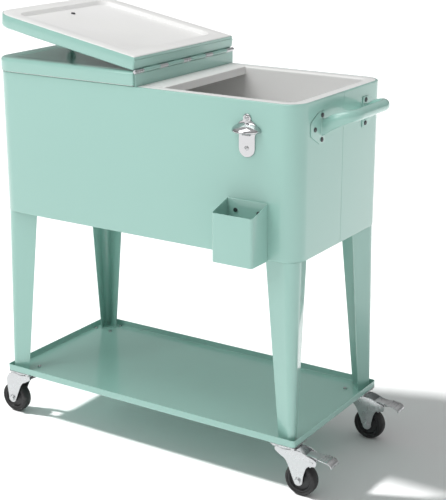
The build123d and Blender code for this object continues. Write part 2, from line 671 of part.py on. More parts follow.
def wheel():
    """Moulded wheel core with hub bosses, a web and a rim for the tyre."""
    core_r = WHEEL_R - TYRE_T
    with BuildPart() as core:
        with BuildSketch(Plane.XZ) as section:
            with BuildLine():
                Polyline(
                    (AXLE_R + RUN_FIT, 0), (AXLE_R + RUN_FIT, 15.1), (9, 15.1), (10.5, 7), (core_r - 5, 5),
                    (core_r - 3, 11), (core_r, 11), (core_r, 0), close=True,
                )
            make_face()
            mirror(about=Plane.XZ)
        revolve(axis=Axis.Z)
    core.part = core.part.rotate(Axis.X, 90).moved(Location((TRAIL, 0, AXLE_Z)))
    return core


def tyre():
    """Solid tyre with a gently crowned tread."""
    core_r, half = WHEEL_R - TYRE_T, TREAD / 2
    with BuildPart() as ring:
        with BuildSketch(Plane.XZ):
            with BuildLine():
                Line((core_r, -half + 1.5), (core_r, half - 1.5))
                Polyline((core_r, half - 1.5), (core_r + 2, half), (WHEEL_R - 5, half))
                TangentArc((WHEEL_R - 5, half), (WHEEL_R - 0.8, half - 5), tangent=(1, 0))
                ThreePointArc((WHEEL_R - 0.8, half - 5), (WHEEL_R, 0), (WHEEL_R - 0.8, 5 - half))
                TangentArc((WHEEL_R - 5, -half), (WHEEL_R - 0.8, 5 - half), tangent=(1, 0))
                Polyline((WHEEL_R - 5, -half), (core_r + 2, -half), (core_r, -half + 1.5))
            make_face()
        revolve(axis=Axis.Z)
    ring.part = ring.part.rotate(Axis.X, 90).moved(Location((TRAIL, 0, AXLE_Z)))
    return ring


def brake_pedal():
    """Foot pedal: ribbed tread with a turned-down tip, two ears on the pin and a cam over the tyre."""
    px, pz = PIVOT
    with BuildPart() as pedal:
        with BuildSketch(Plane.XZ.offset(-13.5)):
            with BuildLine():
                Polyline((50, -17), (78, -18), (102, -21))
                TangentArc((102, -21), (113, -31), tangent=(24, -3))
            trace(line_width=2.4)
        extrude(amount=27)
        with BuildSketch(Plane.XZ.offset(-18)):
            with BuildLine():
                Polyline((82, -18.5), (102, -21))
                TangentArc((102, -21), (113, -31), tangent=(24, -3))
            trace(line_width=2.4)
        extrude(amount=36)
        for x in (84, 90, 96, 102):
            with Locations((x, 0, -18.4 - (x - 82) * 0.125)):
                Cylinder(1.6, 34, rotation=(90, 0, 0))
        with BuildSketch(Plane.XZ.offset(-13.5)):
            with BuildLine():
                Polyline((52, -17), (76, -18), (73, -36), (60, -37), close=True)
            make_face()
        extrude(amount=27)
        with Locations((px, 0, pz + 11)):
            Box(60, 22, 30, align=DOWN, mode=Mode.SUBTRACT)
        with BuildSketch(Plane.XZ.offset(-13.5)):
            with BuildLine():
                Polyline((50, -17), (78, -18), (78, -20.4), (50, -19.4), close=True)
            make_face()
        extrude(amount=27)
        cam = Location((px, 0, pz), (0, 34.5 - 180, 0))
        with Locations(cam):
            Box(8, 27, 17.4, align=UP)
            Cylinder(6, 27, rotation=(90, 0, 0))
        with Locations((px, 0, pz)):
            Cylinder(3 + RUN_FIT, 60, rotation=(90, 0, 0), mode=Mode.SUBTRACT)
    return pedal


save(caster_plates(), "caster_plates")
save(caster_bolts(), "caster_bolts")
for sx, sy in CORNERS:
    place = ("rear" if sy > 0 else "front") + ("_right" if sx > 0 else "_left")
    save(at_corner(caster_fork(sx > 0), sx, sy), f"{place}_fork")
    save(at_corner(axle(), sx, sy), f"{place}_axle")
    save(at_corner(wheel(), sx, sy), f"{place}_wheel")
    save(at_corner(tyre(), sx, sy), f"{place}_tyre")
    if sx > 0:
        save(at_corner(brake_pedal(), sx, sy), f"{place}_brake_pedal")
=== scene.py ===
"""Patio cooler cart: finishes and finely shaped pieces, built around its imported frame.

Metres, +Z up, in the frame's own coordinates. Each piece's place comes from the frame's boxes.
"""

import json
from math import cos, pi, radians, sin, sqrt

import bmesh
import bpy
from mathutils import Matrix, Vector


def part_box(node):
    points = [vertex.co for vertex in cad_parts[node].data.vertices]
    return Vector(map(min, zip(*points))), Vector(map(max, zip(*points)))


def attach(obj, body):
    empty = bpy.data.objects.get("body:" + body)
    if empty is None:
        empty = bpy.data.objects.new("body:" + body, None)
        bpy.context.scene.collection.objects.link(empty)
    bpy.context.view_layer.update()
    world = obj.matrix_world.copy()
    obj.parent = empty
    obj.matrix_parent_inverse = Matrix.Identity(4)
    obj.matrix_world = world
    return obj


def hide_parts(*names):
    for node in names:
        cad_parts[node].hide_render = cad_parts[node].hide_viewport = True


bl_info = {
    "name": "Patio cooler cart",
    "version": (1, 0, 0),
    "blender": (4, 5, 0),
    "location": "3D view > Sidebar > Cooler",
    "description": "Builds the shapes and finishes of an insulated cooler cart",
    "category": "Object",
}

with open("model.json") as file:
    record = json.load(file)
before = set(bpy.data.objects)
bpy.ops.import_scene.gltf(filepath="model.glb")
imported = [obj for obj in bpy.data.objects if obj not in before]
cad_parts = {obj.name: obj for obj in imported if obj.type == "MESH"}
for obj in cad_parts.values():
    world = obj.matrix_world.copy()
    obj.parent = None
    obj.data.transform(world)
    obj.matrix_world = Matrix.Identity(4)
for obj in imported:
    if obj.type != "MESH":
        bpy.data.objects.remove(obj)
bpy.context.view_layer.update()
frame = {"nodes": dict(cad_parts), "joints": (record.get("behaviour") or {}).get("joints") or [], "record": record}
NODES = frame["nodes"]
MM = 0.001
CORNERS = ("front_left", "front_right", "rear_left", "rear_right")
PIN_LOW, PIN_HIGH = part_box("hinge_pin")
PIN = (PIN_LOW + PIN_HIGH) / 2  # middle of the hinge pin
FOLD = -next(j for j in frame["joints"] if j["name"] == "right_lid_hinge")["range_deg"][0]


# ---- settings -----------------------------------------------------------------------------------
def tint(name, description, default):
    return bpy.props.FloatVectorProperty(
        name=name, description=description, subtype="COLOR", size=3, min=0, max=1, default=default
    )


def length(name, description, default):
    return bpy.props.FloatProperty(name=name, description=description, unit="LENGTH", default=default)


def power(name, description, default):
    return bpy.props.FloatProperty(name=name, description=description, default=default)


class CoolerFinishes(bpy.types.PropertyGroup):
    paint: tint("Paint", "Colour of the sprayed coat", (0.325, 0.565, 0.50))
    paint_shade: tint("Paint shade", "Slightly deeper tone the coat drifts to", (0.315, 0.55, 0.487))
    plastic: tint("White plastic", "Colour of the liner and the lid mouldings", (0.83, 0.83, 0.825))
    steel: tint("Bright steel", "Colour of zinc and stainless parts", (0.60, 0.61, 0.62))
    chrome: tint("Chrome", "Colour of the polished parts", (0.56, 0.56, 0.57))
    dark_steel: tint("Dark steel", "Colour of the blackened screws", (0.11, 0.11, 0.115))
    rubber: tint("Rubber", "Colour of the tyres", (0.012, 0.012, 0.013))
    nylon: tint("Nylon", "Colour of the wheel cores", (0.02, 0.02, 0.022))
    foam: tint("Foam", "Colour of the insulation", (0.75, 0.66, 0.42))
    dust: tint("Dust", "Colour of dust on tyres and in corners", (0.32, 0.30, 0.27))


class CoolerSizes(bpy.types.PropertyGroup):
    hem: length("Hem radius", "Rolled edge of the chest and the tray", 2.2 * MM)
    sheet: length("Sheet", "Thickness of the painted steel", 1.2 * MM)
    lid_edge: length("Lid edge", "Radius along a lid's top edge", 8 * MM)
    panel_inset: length("Panel inset", "From a lid's edge to its sunk panel", 34 * MM)
    panel_depth: length("Panel depth", "Depth of the sunk panel", 1.6 * MM)
    liner_band: length("Liner band", "Width of the flat band round a lid's white panel", 34 * MM)
    liner_lip: length("Liner lip", "Rounded inner edge of the tub's flange", 5 * MM)
    tub_radius: length("Tub floor radius", "Radius between the tub's walls and floor", 18 * MM)
    grip: length("Grip", "Radius of the end handles' bars", 12 * MM)
    screw_head: length("Screw head", "Radius of a handle screw's head", 5 * MM)


class CoolerStage(bpy.types.PropertyGroup):
    floor: tint("Floor", "Colour of the studio floor", (0.86, 0.86, 0.86))
    lens: length("Lens", "Focal length for a 36 mm sensor", 91.24)
    azimuth: bpy.props.FloatProperty(
        name="Azimuth", description="Camera's turn about the cart", subtype="ANGLE", default=radians(32.51)
    )
    elevation: bpy.props.FloatProperty(
        name="Elevation", description="Camera's look down", subtype="ANGLE", default=radians(17.515)
    )
    eye: bpy.props.FloatVectorProperty(
        name="Eye", description="Camera's place", subtype="TRANSLATION", size=3,
        default=(1.5841, -2.3154, 1.3368),
    )
    sun: power("Sun", "Strength of the sun on the floor", 4.8)
    key: power("Key light", "Power of the lamp on the left", 50)
    top: power("Top light", "Power of the lamp overhead", 60)
    side: power("Side light", "Power of the lamp on the right", 0.5)
    fill: power("Fill light", "Strength of the room's light", 0.36)


# ---- shader groups ------------------------------------------------------------------------------
def effect(name, output, **inputs):
    """Empty shader group with a vector and float inputs and one float output, with its two ends."""
    group = bpy.data.node_groups.new(name, "ShaderNodeTree")
    group.interface.new_socket("Vector", in_out="INPUT", socket_type="NodeSocketVector")
    for label, value in inputs.items():
        group.interface.new_socket(label, in_out="INPUT", socket_type="NodeSocketFloat").default_value = value
    group.interface.new_socket(output, in_out="OUTPUT", socket_type="NodeSocketFloat")
    return group, group.nodes.new("NodeGroupInput"), group.nodes.new("NodeGroupOutput")


def node(tree, kind, links=(), **values):
    """New node; values set its properties or, where it has none of that name, its input sockets."""
    made = tree.nodes.new("ShaderNode" + kind)
    for key, value in values.items():
        if hasattr(made, key):
            setattr(made, key, value)
        else:
            made.inputs[key.replace("_", " ")].default_value = value
    for socket, source in dict(links).items():
        tree.links.new(source, made.inputs[socket])
    return made


def math_node(tree, operation, first, second, clamp=False):
    made = node(tree, "Math", operation=operation, use_clamp=clamp)
    for socket, value in zip(made.inputs, (first, second)):
        if isinstance(value, (int, float)):
            socket.default_value = value
        else:
            tree.links.new(value, socket)
    return made.outputs[0]


def spread(tree, source, low, high, to_low=0.0, to_high=1.0):
    """Map a value from one range to another, held at its ends."""
    made = node(tree, "MapRange", {"Value": source}, clamp=True)
    for label, value in zip(("From Min", "From Max", "To Min", "To Max"), (low, high, to_low, to_high)):
        if isinstance(value, (int, float)):
            made.inputs[label].default_value = value
        else:
            tree.links.new(value, made.inputs[label])
    return made.outputs[0]


def build_effects():
    """The shader groups that several finishes share."""
    group, given, out = effect("Orange peel", "Height", Scale=260.0)
    wave = node(group, "TexNoise", {"Vector": given.outputs[0], "Scale": given.outputs[1]}, Detail=2.0)
    broad = node(group, "TexNoise", {"Vector": given.outputs[0]}, Scale=9.0, Detail=1.0)
    sum_ = math_node(group, "ADD", math_node(group, "MULTIPLY", wave.outputs[0], 0.5), broad.outputs[0])
    group.links.new(sum_, out.inputs[0])

    # mask of rounded edges in noise patches: rubbed wear on the screws and chrome, a painted highlight on the mint
    # paint
    group, given, out = effect("Edge wear and highlight", "Mask", Radius=0.0015, Amount=0.5)
    rounded = node(group, "Bevel", {"Radius": given.outputs[1]}, samples=4)
    flat = node(group, "NewGeometry")
    facing = node(group, "VectorMath", operation="DOT_PRODUCT")
    group.links.new(rounded.outputs[0], facing.inputs[0])
    group.links.new(flat.outputs["Normal"], facing.inputs[1])
    edge = spread(group, facing.outputs["Value"], 0.995, 0.86)
    patchy = node(group, "TexNoise", {"Vector": given.outputs[0]}, Scale=70.0, Detail=5.0, Roughness=0.7)
    worn = spread(group, patchy.outputs[0], 0.46, 0.66)
    both = math_node(group, "MULTIPLY", edge, worn)
    mask = math_node(group, "MULTIPLY", both, given.outputs[2], clamp=True)
    group.links.new(mask, out.inputs[0])

    group, given, out = effect("Settled dust", "Mask", Amount=0.3)
    up = node(group, "SeparateXYZ", {0: node(group, "NewGeometry").outputs["Normal"]})
    lying = spread(group, up.outputs[2], 0.1, 1.0)
    cloud = node(group, "TexNoise", {"Vector": given.outputs[0]}, Scale=9.0, Detail=3.0, Roughness=0.5)
    thin = spread(group, cloud.outputs[0], 0.2, 0.9)
    both = math_node(group, "MULTIPLY", lying, thin)
    mask = math_node(group, "MULTIPLY", both, given.outputs[1], clamp=True)
    group.links.new(mask, out.inputs[0])

    group, given, out = effect("Smudges", "Roughness", Scale=8.0, Clean=0.1, Dull=0.3)
    cloud = node(group, "TexNoise", {"Vector": given.outputs[0], "Scale": given.outputs[1]}, Detail=2.0)
    rough = spread(group, cloud.outputs[0], 0.15, 0.85, given.outputs[2], given.outputs[3])
    group.links.new(rough, out.inputs[0])

    group, given, out = effect("Grain", "Height", Scale=900.0)
    at = {"Vector": given.outputs[0], "Scale": given.outputs[1]}
    fine = node(group, "TexNoise", at, Detail=4.0, Roughness=0.6)
    group.links.new(fine.outputs[0], out.inputs[0])

    group, given, out = effect("Brushed", "Height", Scale=500.0)
    along = node(group, "Mapping", {"Vector": given.outputs[0]})
    along.inputs["Scale"].default_value = (0.04, 1.0, 1.0)
    lines = node(group, "TexNoise", {"Vector": along.outputs[0], "Scale": given.outputs[1]}, Detail=3.0)
    group.links.new(lines.outputs[0], out.inputs[0])


def use(tree, group, coordinate, **values):
    """Place a shared effect in a material; returns its output."""
    made = tree.nodes.new("ShaderNodeGroup")
    made.node_tree = bpy.data.node_groups[group]
    tree.links.new(coordinate, made.inputs["Vector"])
    for key, value in values.items():
        made.inputs[key].default_value = value
    return made.outputs[0]


class Finish:
    """A material being made: its tree, its Principled shader and the piece's own coordinates."""

    def __init__(self, name, colour, **values):
        self.material = bpy.data.materials.new(name)
        self.material.use_nodes = True
        self.tree = self.material.node_tree
        self.tree.nodes.clear()
        self.shader = node(self.tree, "BsdfPrincipled")
        self.shader.inputs["Base Color"].default_value = (*colour, 1)
        for key, value in values.items():
            self.shader.inputs[key.replace("_", " ")].default_value = value
        result = node(self.tree, "OutputMaterial")
        self.tree.links.new(self.shader.outputs[0], result.inputs[0])
        self.place = node(self.tree, "TexCoord").outputs["Object"]

    def effect(self, group, **values):
        return use(self.tree, group, self.place, **values)

    def feed(self, socket, source):
        self.tree.links.new(source, self.shader.inputs[socket])

    def colours(self, first, second, mask):
        """Mix two colours, or a socket and a colour, by a mask."""
        mix = node(self.tree, "Mix", data_type="RGBA")
        for index, value in ((6, first), (7, second)):
            if isinstance(value, bpy.types.NodeSocket):
                self.tree.links.new(value, mix.inputs[index])
            else:
                mix.inputs[index].default_value = (*value, 1)
        self.tree.links.new(mask, mix.inputs[0])
        return mix.outputs[2]

    def dusted(self, tone, dust, amount):
        """Feed the colour, with dust where faces lie flat."""
        self.feed("Base Color", self.colours(tone, dust, self.effect("Settled dust", Amount=amount)))

    def relief(self, height, distance, strength=1.0, edge=0.0):
        """Bump from a height, over edges that look rounded to the given radius."""
        bump = node(self.tree, "Bump", {"Height": height}, Strength=strength, Distance=distance)
        if edge:
            soft = node(self.tree, "Bevel", samples=4, Radius=edge)
            self.tree.links.new(soft.outputs[0], bump.inputs["Normal"])
        self.feed("Normal", bump.outputs[0])

    def noise(self, scale, detail=2.0, low=0.2, high=0.8):
        cloud = node(self.tree, "TexNoise", {"Vector": self.place}, Scale=scale, Detail=detail)
        return spread(self.tree, cloud.outputs[0], low, high)


def paint(colours):
    """Glossy sprayed coat: faint orange peel, a slow drift of tone, a painted highlight on its rounded edges and a
    clear top layer.
    """
    made = Finish(
        "mint_paint", colours.paint, Roughness=0.3, Coat_Weight=0.75, Coat_Roughness=0.035, Coat_IOR=1.5
    )
    tone = made.colours(colours.paint, colours.paint_shade, made.noise(3.0))
    # painted highlight: rounded edges, in noise patches, are tinted a paler mint as if catching light
    edge_highlight = made.effect("Edge wear and highlight", Radius=0.0012, Amount=0.16)
    tone = made.colours(tone, (0.62, 0.8, 0.74), edge_highlight)
    made.dusted(tone, colours.dust, 0.05)
    made.feed("Roughness", made.effect("Smudges", Scale=6.0, Clean=0.26, Dull=0.36))
    made.relief(made.effect("Orange peel", Scale=240.0), 0.00012, 0.35, 0.0012)
    return made.material


def white_plastic(colours):
    """Moulded white liner with a soft sheen."""
    made = Finish("white_plastic", colours.plastic, Roughness=0.32, IOR=1.49)
    warm = tuple(v * f for v, f in zip(colours.plastic, (0.985, 0.985, 0.97)))
    tone = made.colours(colours.plastic, warm, made.noise(5.0))
    made.dusted(tone, colours.dust, 0.04)
    made.feed("Roughness", made.effect("Smudges", Scale=11.0, Clean=0.25, Dull=0.42))
    made.relief(made.effect("Grain", Scale=700.0), 0.00008, 0.3, 0.0012)
    return made.material


def foam(colours):
    """Rigid foam with fine cells."""
    made = Finish("foam", colours.foam, Roughness=0.9)
    deep = tuple(v * 0.8 for v in colours.foam)
    made.feed("Base Color", made.colours(colours.foam, deep, made.noise(60.0)))
    made.relief(made.effect("Grain", Scale=350.0), 0.0006, 0.8)
    return made.material


def chrome(colours):
    """Polished plating with faint smears."""
    made = Finish("chrome", colours.chrome, Metallic=1.0, Roughness=0.08)
    worn = made.effect("Edge wear and highlight", Amount=0.2)
    made.feed("Base Color", made.colours(colours.chrome, (0.62, 0.62, 0.63), worn))
    made.feed("Roughness", made.effect("Smudges", Scale=30.0, Clean=0.05, Dull=0.16))
    made.relief(made.effect("Orange peel", Scale=150.0), 0.0001, 0.15, 0.0006)
    return made.material


def zinc(colours):
    """Bright zinc plate: patchy crystals of tone over pressed steel."""
    made = Finish("zinc", colours.steel, Metallic=1.0, Roughness=0.28)
    flake = node(made.tree, "TexVoronoi", {"Vector": made.place}, Scale=260.0)
    patch = spread(made.tree, flake.outputs["Distance"], 0.0, 0.8)
    tone = made.colours(colours.steel, tuple(v * 0.93 for v in colours.steel), patch)
    made.dusted(tone, colours.dust, 0.12)
    made.feed("Roughness", made.effect("Smudges", Scale=45.0, Clean=0.2, Dull=0.38))
    made.relief(made.effect("Grain", Scale=900.0), 0.00004, 0.12, 0.0007)
    return made.material


def dark_steel(colours):
    """Blackened screws, rubbed bright on their edges."""
    made = Finish("dark_steel", colours.dark_steel, Metallic=1.0, Roughness=0.4)
    worn = made.effect("Edge wear and highlight", Radius=0.0006, Amount=0.9)
    made.feed("Base Color", made.colours(colours.dark_steel, (0.42, 0.42, 0.42), worn))
    made.feed("Roughness", made.effect("Smudges", Scale=90.0, Clean=0.28, Dull=0.5))
    made.relief(made.effect("Grain", Scale=1200.0), 0.00008, 0.4, 0.0004)
    return made.material


def hinge_steel(colours):
    """Plain stainless strip, brushed along its length."""
    made = Finish("hinge_steel", colours.steel, Metallic=1.0, Roughness=0.3)
    streak = made.effect("Brushed", Scale=900.0)
    made.feed("Base Color", made.colours(tuple(v * 0.85 for v in colours.steel), colours.steel, streak))
    made.feed("Roughness", made.effect("Smudges", Scale=40.0, Clean=0.22, Dull=0.36))
    made.relief(streak, 0.0001, 0.4, 0.0005)
    return made.material


def rubber(colours):
    """Solid tyre: matt black with scuffs and dust on the tread."""
    made = Finish("tyre", colours.rubber, Roughness=0.55)
    scuff = made.noise(90.0, 6.0, 0.52, 0.72)
    tone = made.colours(colours.rubber, (0.035, 0.034, 0.033), scuff)
    made.dusted(tone, colours.dust, 0.1)
    made.feed("Roughness", made.effect("Smudges", Scale=35.0, Clean=0.4, Dull=0.7))
    made.relief(made.effect("Grain", Scale=1100.0), 0.0002, 0.5, 0.001)
    return made.material


def nylon(colours, name="wheel_plastic"):
    """Black moulded plastic with a satin grain."""
    made = Finish(name, colours.nylon, Roughness=0.38)
    made.dusted(colours.nylon, colours.dust, 0.08)
    made.feed("Roughness", made.effect("Smudges", Scale=25.0, Clean=0.3, Dull=0.5))
    made.relief(made.effect("Grain", Scale=800.0), 0.00015, 0.4, 0.0008)
    return made.material


FINISHES = {
    "mint_paint": paint, "white_plastic": white_plastic, "foam": foam, "polished_steel": chrome, "zinc": zinc,
    "dark_steel": dark_steel, "hinge_steel": hinge_steel, "tyre": rubber, "wheel_plastic": nylon,
    "drain_plastic": lambda colours: nylon(colours, "drain_plastic"),
}
MATERIALS = {}


# ---- shaping ------------------------------------------------------------------------------------
def outline(low, high, near, far, steps=8):
    """Rounded rectangle as (x, y) points, counter-clockwise; near and far are its corner radii."""
    (x0, y0), (x1, y1) = low, high
    spots = ((x1, y0, -1, 1, far), (x1, y1, -1, -1, far), (x0, y1, 1, -1, near), (x0, y0, 1, 1, near))
    points = []
    for corner, (x, y, sx, sy, r) in enumerate(spots):
        r = max(r, 1e-5)
        for step in range(steps + 1):
            angle = (corner - 1 + step / steps) * pi / 2
            points.append((x + sx * r + r * cos(angle), y + sy * r + r * sin(angle)))
    return points


def inset_ring(low, high, inset, z, radius, steps):
    """Level ring inside a box seen from above, drawn in by inset, with one corner radius."""
    near, far = (low.x + inset, low.y + inset), (high.x - inset, high.y - inset)
    return level(outline(near, far, radius, radius, steps), z)


def scaled(rows):
    """Rows of lengths in millimetres, as metres."""
    return [tuple(v * MM for v in row) for row in rows]


def front_rounded(low, high, radius, steps=6):
    """Rectangle whose two front corners are round, as (x, y) points, counter-clockwise."""
    (x0, y0), (x1, y1) = low, high
    turn = [pi / 2 * i / steps for i in range(steps + 1)]
    points = [(x1, y1), (x0, y1)]
    points += [(x0 + radius * (1 - cos(a)), y0 + radius * (1 - sin(a))) for a in turn]
    points += [(x1 - radius * (1 - sin(a)), y0 + radius * (1 - cos(a))) for a in turn]
    return points


def rounded(points, radius, steps=4):
    """Polygon with eased corners."""
    eased = []
    for before, at, after in zip([points[-1], *points], points, [*points[1:], points[0]]):
        before, at, after = Vector(before), Vector(at), Vector(after)
        start = at + (before - at).normalized() * min(radius, (before - at).length * 0.45)
        end = at + (after - at).normalized() * min(radius, (after - at).length * 0.45)
        for i in range(steps + 1):
            t = i / steps
            eased.append(tuple(start * (1 - t) ** 2 + at * 2 * t * (1 - t) + end * t**2))
    return eased


def level(points, z):
    return [Vector((x, y, z)) for x, y in points]


def arc(centre, radius, start, end, steps=6):
    """Points of an arc in a plane, from one angle to another, in degrees."""
    turn = [radians(start + (end - start) * i / steps) for i in range(steps + 1)]
    return [(centre[0] + radius * cos(a), centre[1] + radius * sin(a)) for a in turn]


def smooth_line(points, steps=6):
    """Catmull-Rom curve through points of any dimension."""
    points = [Vector(p) for p in points]
    ends = [points[0] * 2 - points[1], *points, points[-1] * 2 - points[-2]]
    line = []
    for a, b, c, d in zip(ends, ends[1:], ends[2:], ends[3:]):
        for i in range(steps):
            t = i / steps
            bend, twist = 2 * a - 5 * b + 4 * c - d, 3 * b - a - 3 * c + d
            line.append(0.5 * (2 * b + (c - a) * t + bend * t**2 + twist * t**3))
    return [*line, points[-1]]


def skin(name, rings, first=True, last=True, loop=False):
    """Mesh object through rings of equal length, with flat ends where asked."""
    count = len(rings[0])
    faces = []
    spans = len(rings) if loop else len(rings) - 1
    for a in range(spans):
        b = (a + 1) % len(rings)
        for i in range(count):
            j = (i + 1) % count
            faces.append((a * count + i, a * count + j, b * count + j, b * count + i))
    if first and not loop:
        faces.append(tuple(reversed(range(count))))
    if last and not loop:
        faces.append(tuple(range((len(rings) - 1) * count, len(rings) * count)))
    return mesh_piece(name, [p for ring in rings for p in ring], faces)


def mesh_piece(name, points, faces, crease=35):
    mesh = bpy.data.meshes.new(name)
    mesh.from_pydata([tuple(p) for p in points], [], faces)
    mesh.validate()
    whole = bmesh.new()
    whole.from_mesh(mesh)
    bmesh.ops.recalc_face_normals(whole, faces=whole.faces)
    whole.to_mesh(mesh)
    whole.free()
    mesh.shade_smooth()
    mesh.set_sharp_from_angle(angle=radians(crease))
    made = bpy.data.objects.new(name, mesh)
    bpy.context.scene.collection.objects.link(made)
    return made


def turned(name, profile, segments=48):
    """Lathe a profile of (radius, height) about Z; ends on the axis close by themselves."""
    rings = []
    for radius, height in profile:
        turn = [2 * pi * i / segments for i in range(segments)]
        rings.append([Vector((max(radius, 1e-6) * cos(a), max(radius, 1e-6) * sin(a), height)) for a in turn])
    return skin(name, rings)


def turned_ring(name, profile, segments=48):
    """Lathe a closed outline of (radius, height) about Z."""
    turn = [2 * pi * i / segments for i in range(segments)]
    return skin(name, [[Vector((r * cos(a), r * sin(a), z)) for r, z in profile] for a in turn], loop=True)


def plate(name, points, thickness, edge=0.0, segments=3):
    """Flat piece in the XY plane, from z = 0 up, with softened edges."""
    count = len(points)
    low = [Vector((x, y, 0)) for x, y in points]
    high = [Vector((x, y, thickness)) for x, y in points]
    faces = [tuple(reversed(range(count))), tuple(range(count, 2 * count))]
    faces += [(i, (i + 1) % count, count + (i + 1) % count, count + i) for i in range(count)]
    made = mesh_piece(name, low + high, faces)
    if edge:
        soften(made, edge, segments)
    return made


def soften(piece, width, segments=3, angle=40):
    bevel = piece.modifiers.new("Softened edges", "BEVEL")
    bevel.width = width
    bevel.segments = segments
    bevel.limit_method = "ANGLE"
    bevel.angle_limit = radians(angle)
    bevel.harden_normals = True
    return piece


def place(piece, matrix):
    piece.data.transform(matrix)
    if matrix.determinant() < 0:
        piece.data.flip_normals()
    return piece


def join(name, pieces):
    """One object out of several, with their modifiers applied."""
    points, faces, base = [], [], 0
    graph = bpy.context.evaluated_depsgraph_get()
    for piece in pieces:
        mesh = piece.evaluated_get(graph).to_mesh()
        points += [v.co.copy() for v in mesh.vertices]
        faces += [tuple(base + i for i in p.vertices) for p in mesh.polygons]
        base = len(points)
        piece.evaluated_get(graph).to_mesh_clear()
    for piece in pieces:
        bpy.data.objects.remove(piece)
    return mesh_piece(name, points, faces)


def finish_piece(piece, slot, body, *nodes):
    """Give a piece its finish and its body, and let it stand for the frame's nodes."""
    piece.data.materials.clear()
    piece.data.materials.append(MATERIALS[slot])
    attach(piece, body)
    if nodes:
        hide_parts(*nodes)
    return piece


def facing(origin, normal, up=(0, 0, 1)):
    """Matrix that puts a piece's +Z along a normal and its +Y near up."""
    z = Vector(normal).normalized()
    x = Vector(up).cross(z)
    x = x.normalized() if x.length > 1e-6 else Vector((1, 0, 0))
    y = z.cross(x)
    turn = Matrix((x, y, z)).transposed().to_4x4()
    return Matrix.Translation(origin) @ turn


# ---- chest --------------------------------------------------------------------------------------
class COOLER_OT_chest(bpy.types.Operator):
    """Shell with rolled hem and end seams, and the white tub with its flange"""

    bl_idname = "cooler.chest"
    bl_label = "Chest"

    def execute(self, context):
        sizes = context.scene.cooler_sizes
        self.shell(sizes)
        self.tub(sizes)
        return {"FINISHED"}

    def shell(self, sizes):
        """Wall rings from the bottom edge up over the hem and a little way down inside it."""
        low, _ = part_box("shell_front")
        _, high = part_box("shell_rear")
        corner, hem, seam = 42 * MM, sizes.hem, 0.9 * MM
        middle = (low.y + high.y) / 2

        def ring(inset, z):
            near, far = (low.x + inset, low.y + inset), (high.x - inset, high.y - inset)
            points = outline(near, far, corner, corner, 14)
            half = len(points) // 4
            grooved = []
            for side, x, turn in ((0, high.x - inset, 1), (1, low.x + inset, -1)):
                grooved += points[side * 2 * half:side * 2 * half + half]
                for y, sink in ((-seam, 0), (-seam / 3, seam), (seam / 3, seam), (seam, 0)):
                    grooved.append((x - turn * sink, middle + turn * y))
                grooved += points[side * 2 * half + half:(side + 1) * 2 * half]
            return level(grooved, z)

        bottom = [ring(d, low.z + z) for d, z in ((9 * MM, 0), (3 * MM, 0))]
        bottom += [ring(3 * MM - x, low.z + z) for x, z in arc((0, 3 * MM), 3 * MM, -90, 0)]
        top = [ring(hem - x, high.z - hem + z) for x, z in arc((0, 0), hem, 0, 90)]
        inside = [ring(4 * MM, high.z), ring(4.1 * MM, high.z - 2 * MM)]
        finish_piece(
            skin("chest_shell", bottom + top + inside, False, False), "mint_paint", "cabinet",
            "shell_front", "shell_rear",
        )

    def tub(self, sizes):
        low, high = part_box("liner_tub")
        cavity, wall = 22 * MM, 24 * MM
        lip, foot = sizes.liner_lip, sizes.tub_radius
        draft = 1.5 * MM

        def ring(inset, z, radius):
            return inset_ring(low, high, inset, z, radius, 10)

        edge = 37.7 * MM
        rings = [ring(0.3 * MM, high.z - 3 * MM, edge), ring(0, high.z - 1 * MM, edge)]
        rings += [
            ring(1 * MM - x, high.z - 1 * MM + z, edge - 1 * MM + x) for x, z in arc((0, 0), 1 * MM, 0, 90, 4)
        ]
        rings += [
            ring(wall - lip + x, high.z - lip + z, cavity + lip - x) for x, z in arc((0, 0), lip, 90, 0, 6)
        ]
        floor = low.z + 2 * MM
        rings += [
            ring(wall + draft + foot - x, floor + foot + z, max(cavity - foot + x, 5 * MM))
            for x, z in arc((0, 0), foot, 0, -90, 8)
        ]
        finish_piece(skin("cooler_tub", rings, False, True), "white_plastic", "cabinet", "liner_tub")


# ---- fasteners that several groups use ----------------------------------------------------------
def cross_recess(size, count=48):
    """Outline of a cross recess, as points about the origin."""
    long, half = size, size * 0.2
    points = []
    for i in range(count):
        a = 2 * pi * (i + 0.5) / count
        c, s = max(abs(cos(a)), 1e-6), max(abs(sin(a)), 1e-6)
        r = max(min(long / c, half / s), min(half / c, long / s))
        points.append((r * cos(a), r * sin(a)))
    return points


def screw(name, radius, height, matrix):
    """Domed head with a cross recess, standing on z = 0 of its matrix."""
    count = 48
    around = [2 * pi * (i + 0.5) / count for i in range(count)]
    rings = [
        [Vector((radius * cos(a), radius * sin(a), z)) for a in around] for z in (-0.2 * MM, height * 0.35)
    ]
    for i in range(1, 6):
        t = i / 6 * pi / 2
        r, z = radius * cos(t * 0.72), height * (0.35 + 0.65 * sin(t))
        rings.append([Vector((r * cos(a), r * sin(a), z)) for a in around])
    cross = cross_recess(radius * 0.5, count)
    rings.append([Vector((x, y, height)) for x, y in cross])
    rings.append([Vector((x * 0.9, y * 0.9, height * 0.35)) for x, y in cross])
    return place(skin(name, rings, False, True), matrix)


def hexagon(name, across, height, matrix):
    """Hexagon nut with chamfered corners, standing on z = 0 of its matrix."""
    rings = []
    for shrink, z in ((1, 0), (1, height * 0.8), (0.88, height)):
        turn = [2 * pi * i / 36 for i in range(36)]
        flat = [across / 2 / cos((a + pi / 6) % (pi / 3) - pi / 6) for a in turn]
        limit = across / 2 * 1.09 * shrink
        cut = [min(r, limit) for r in flat]
        rings.append([Vector((r * cos(a), r * sin(a), z)) for r, a in zip(cut, turn)])
    return place(skin(name, rings, False, True), matrix)


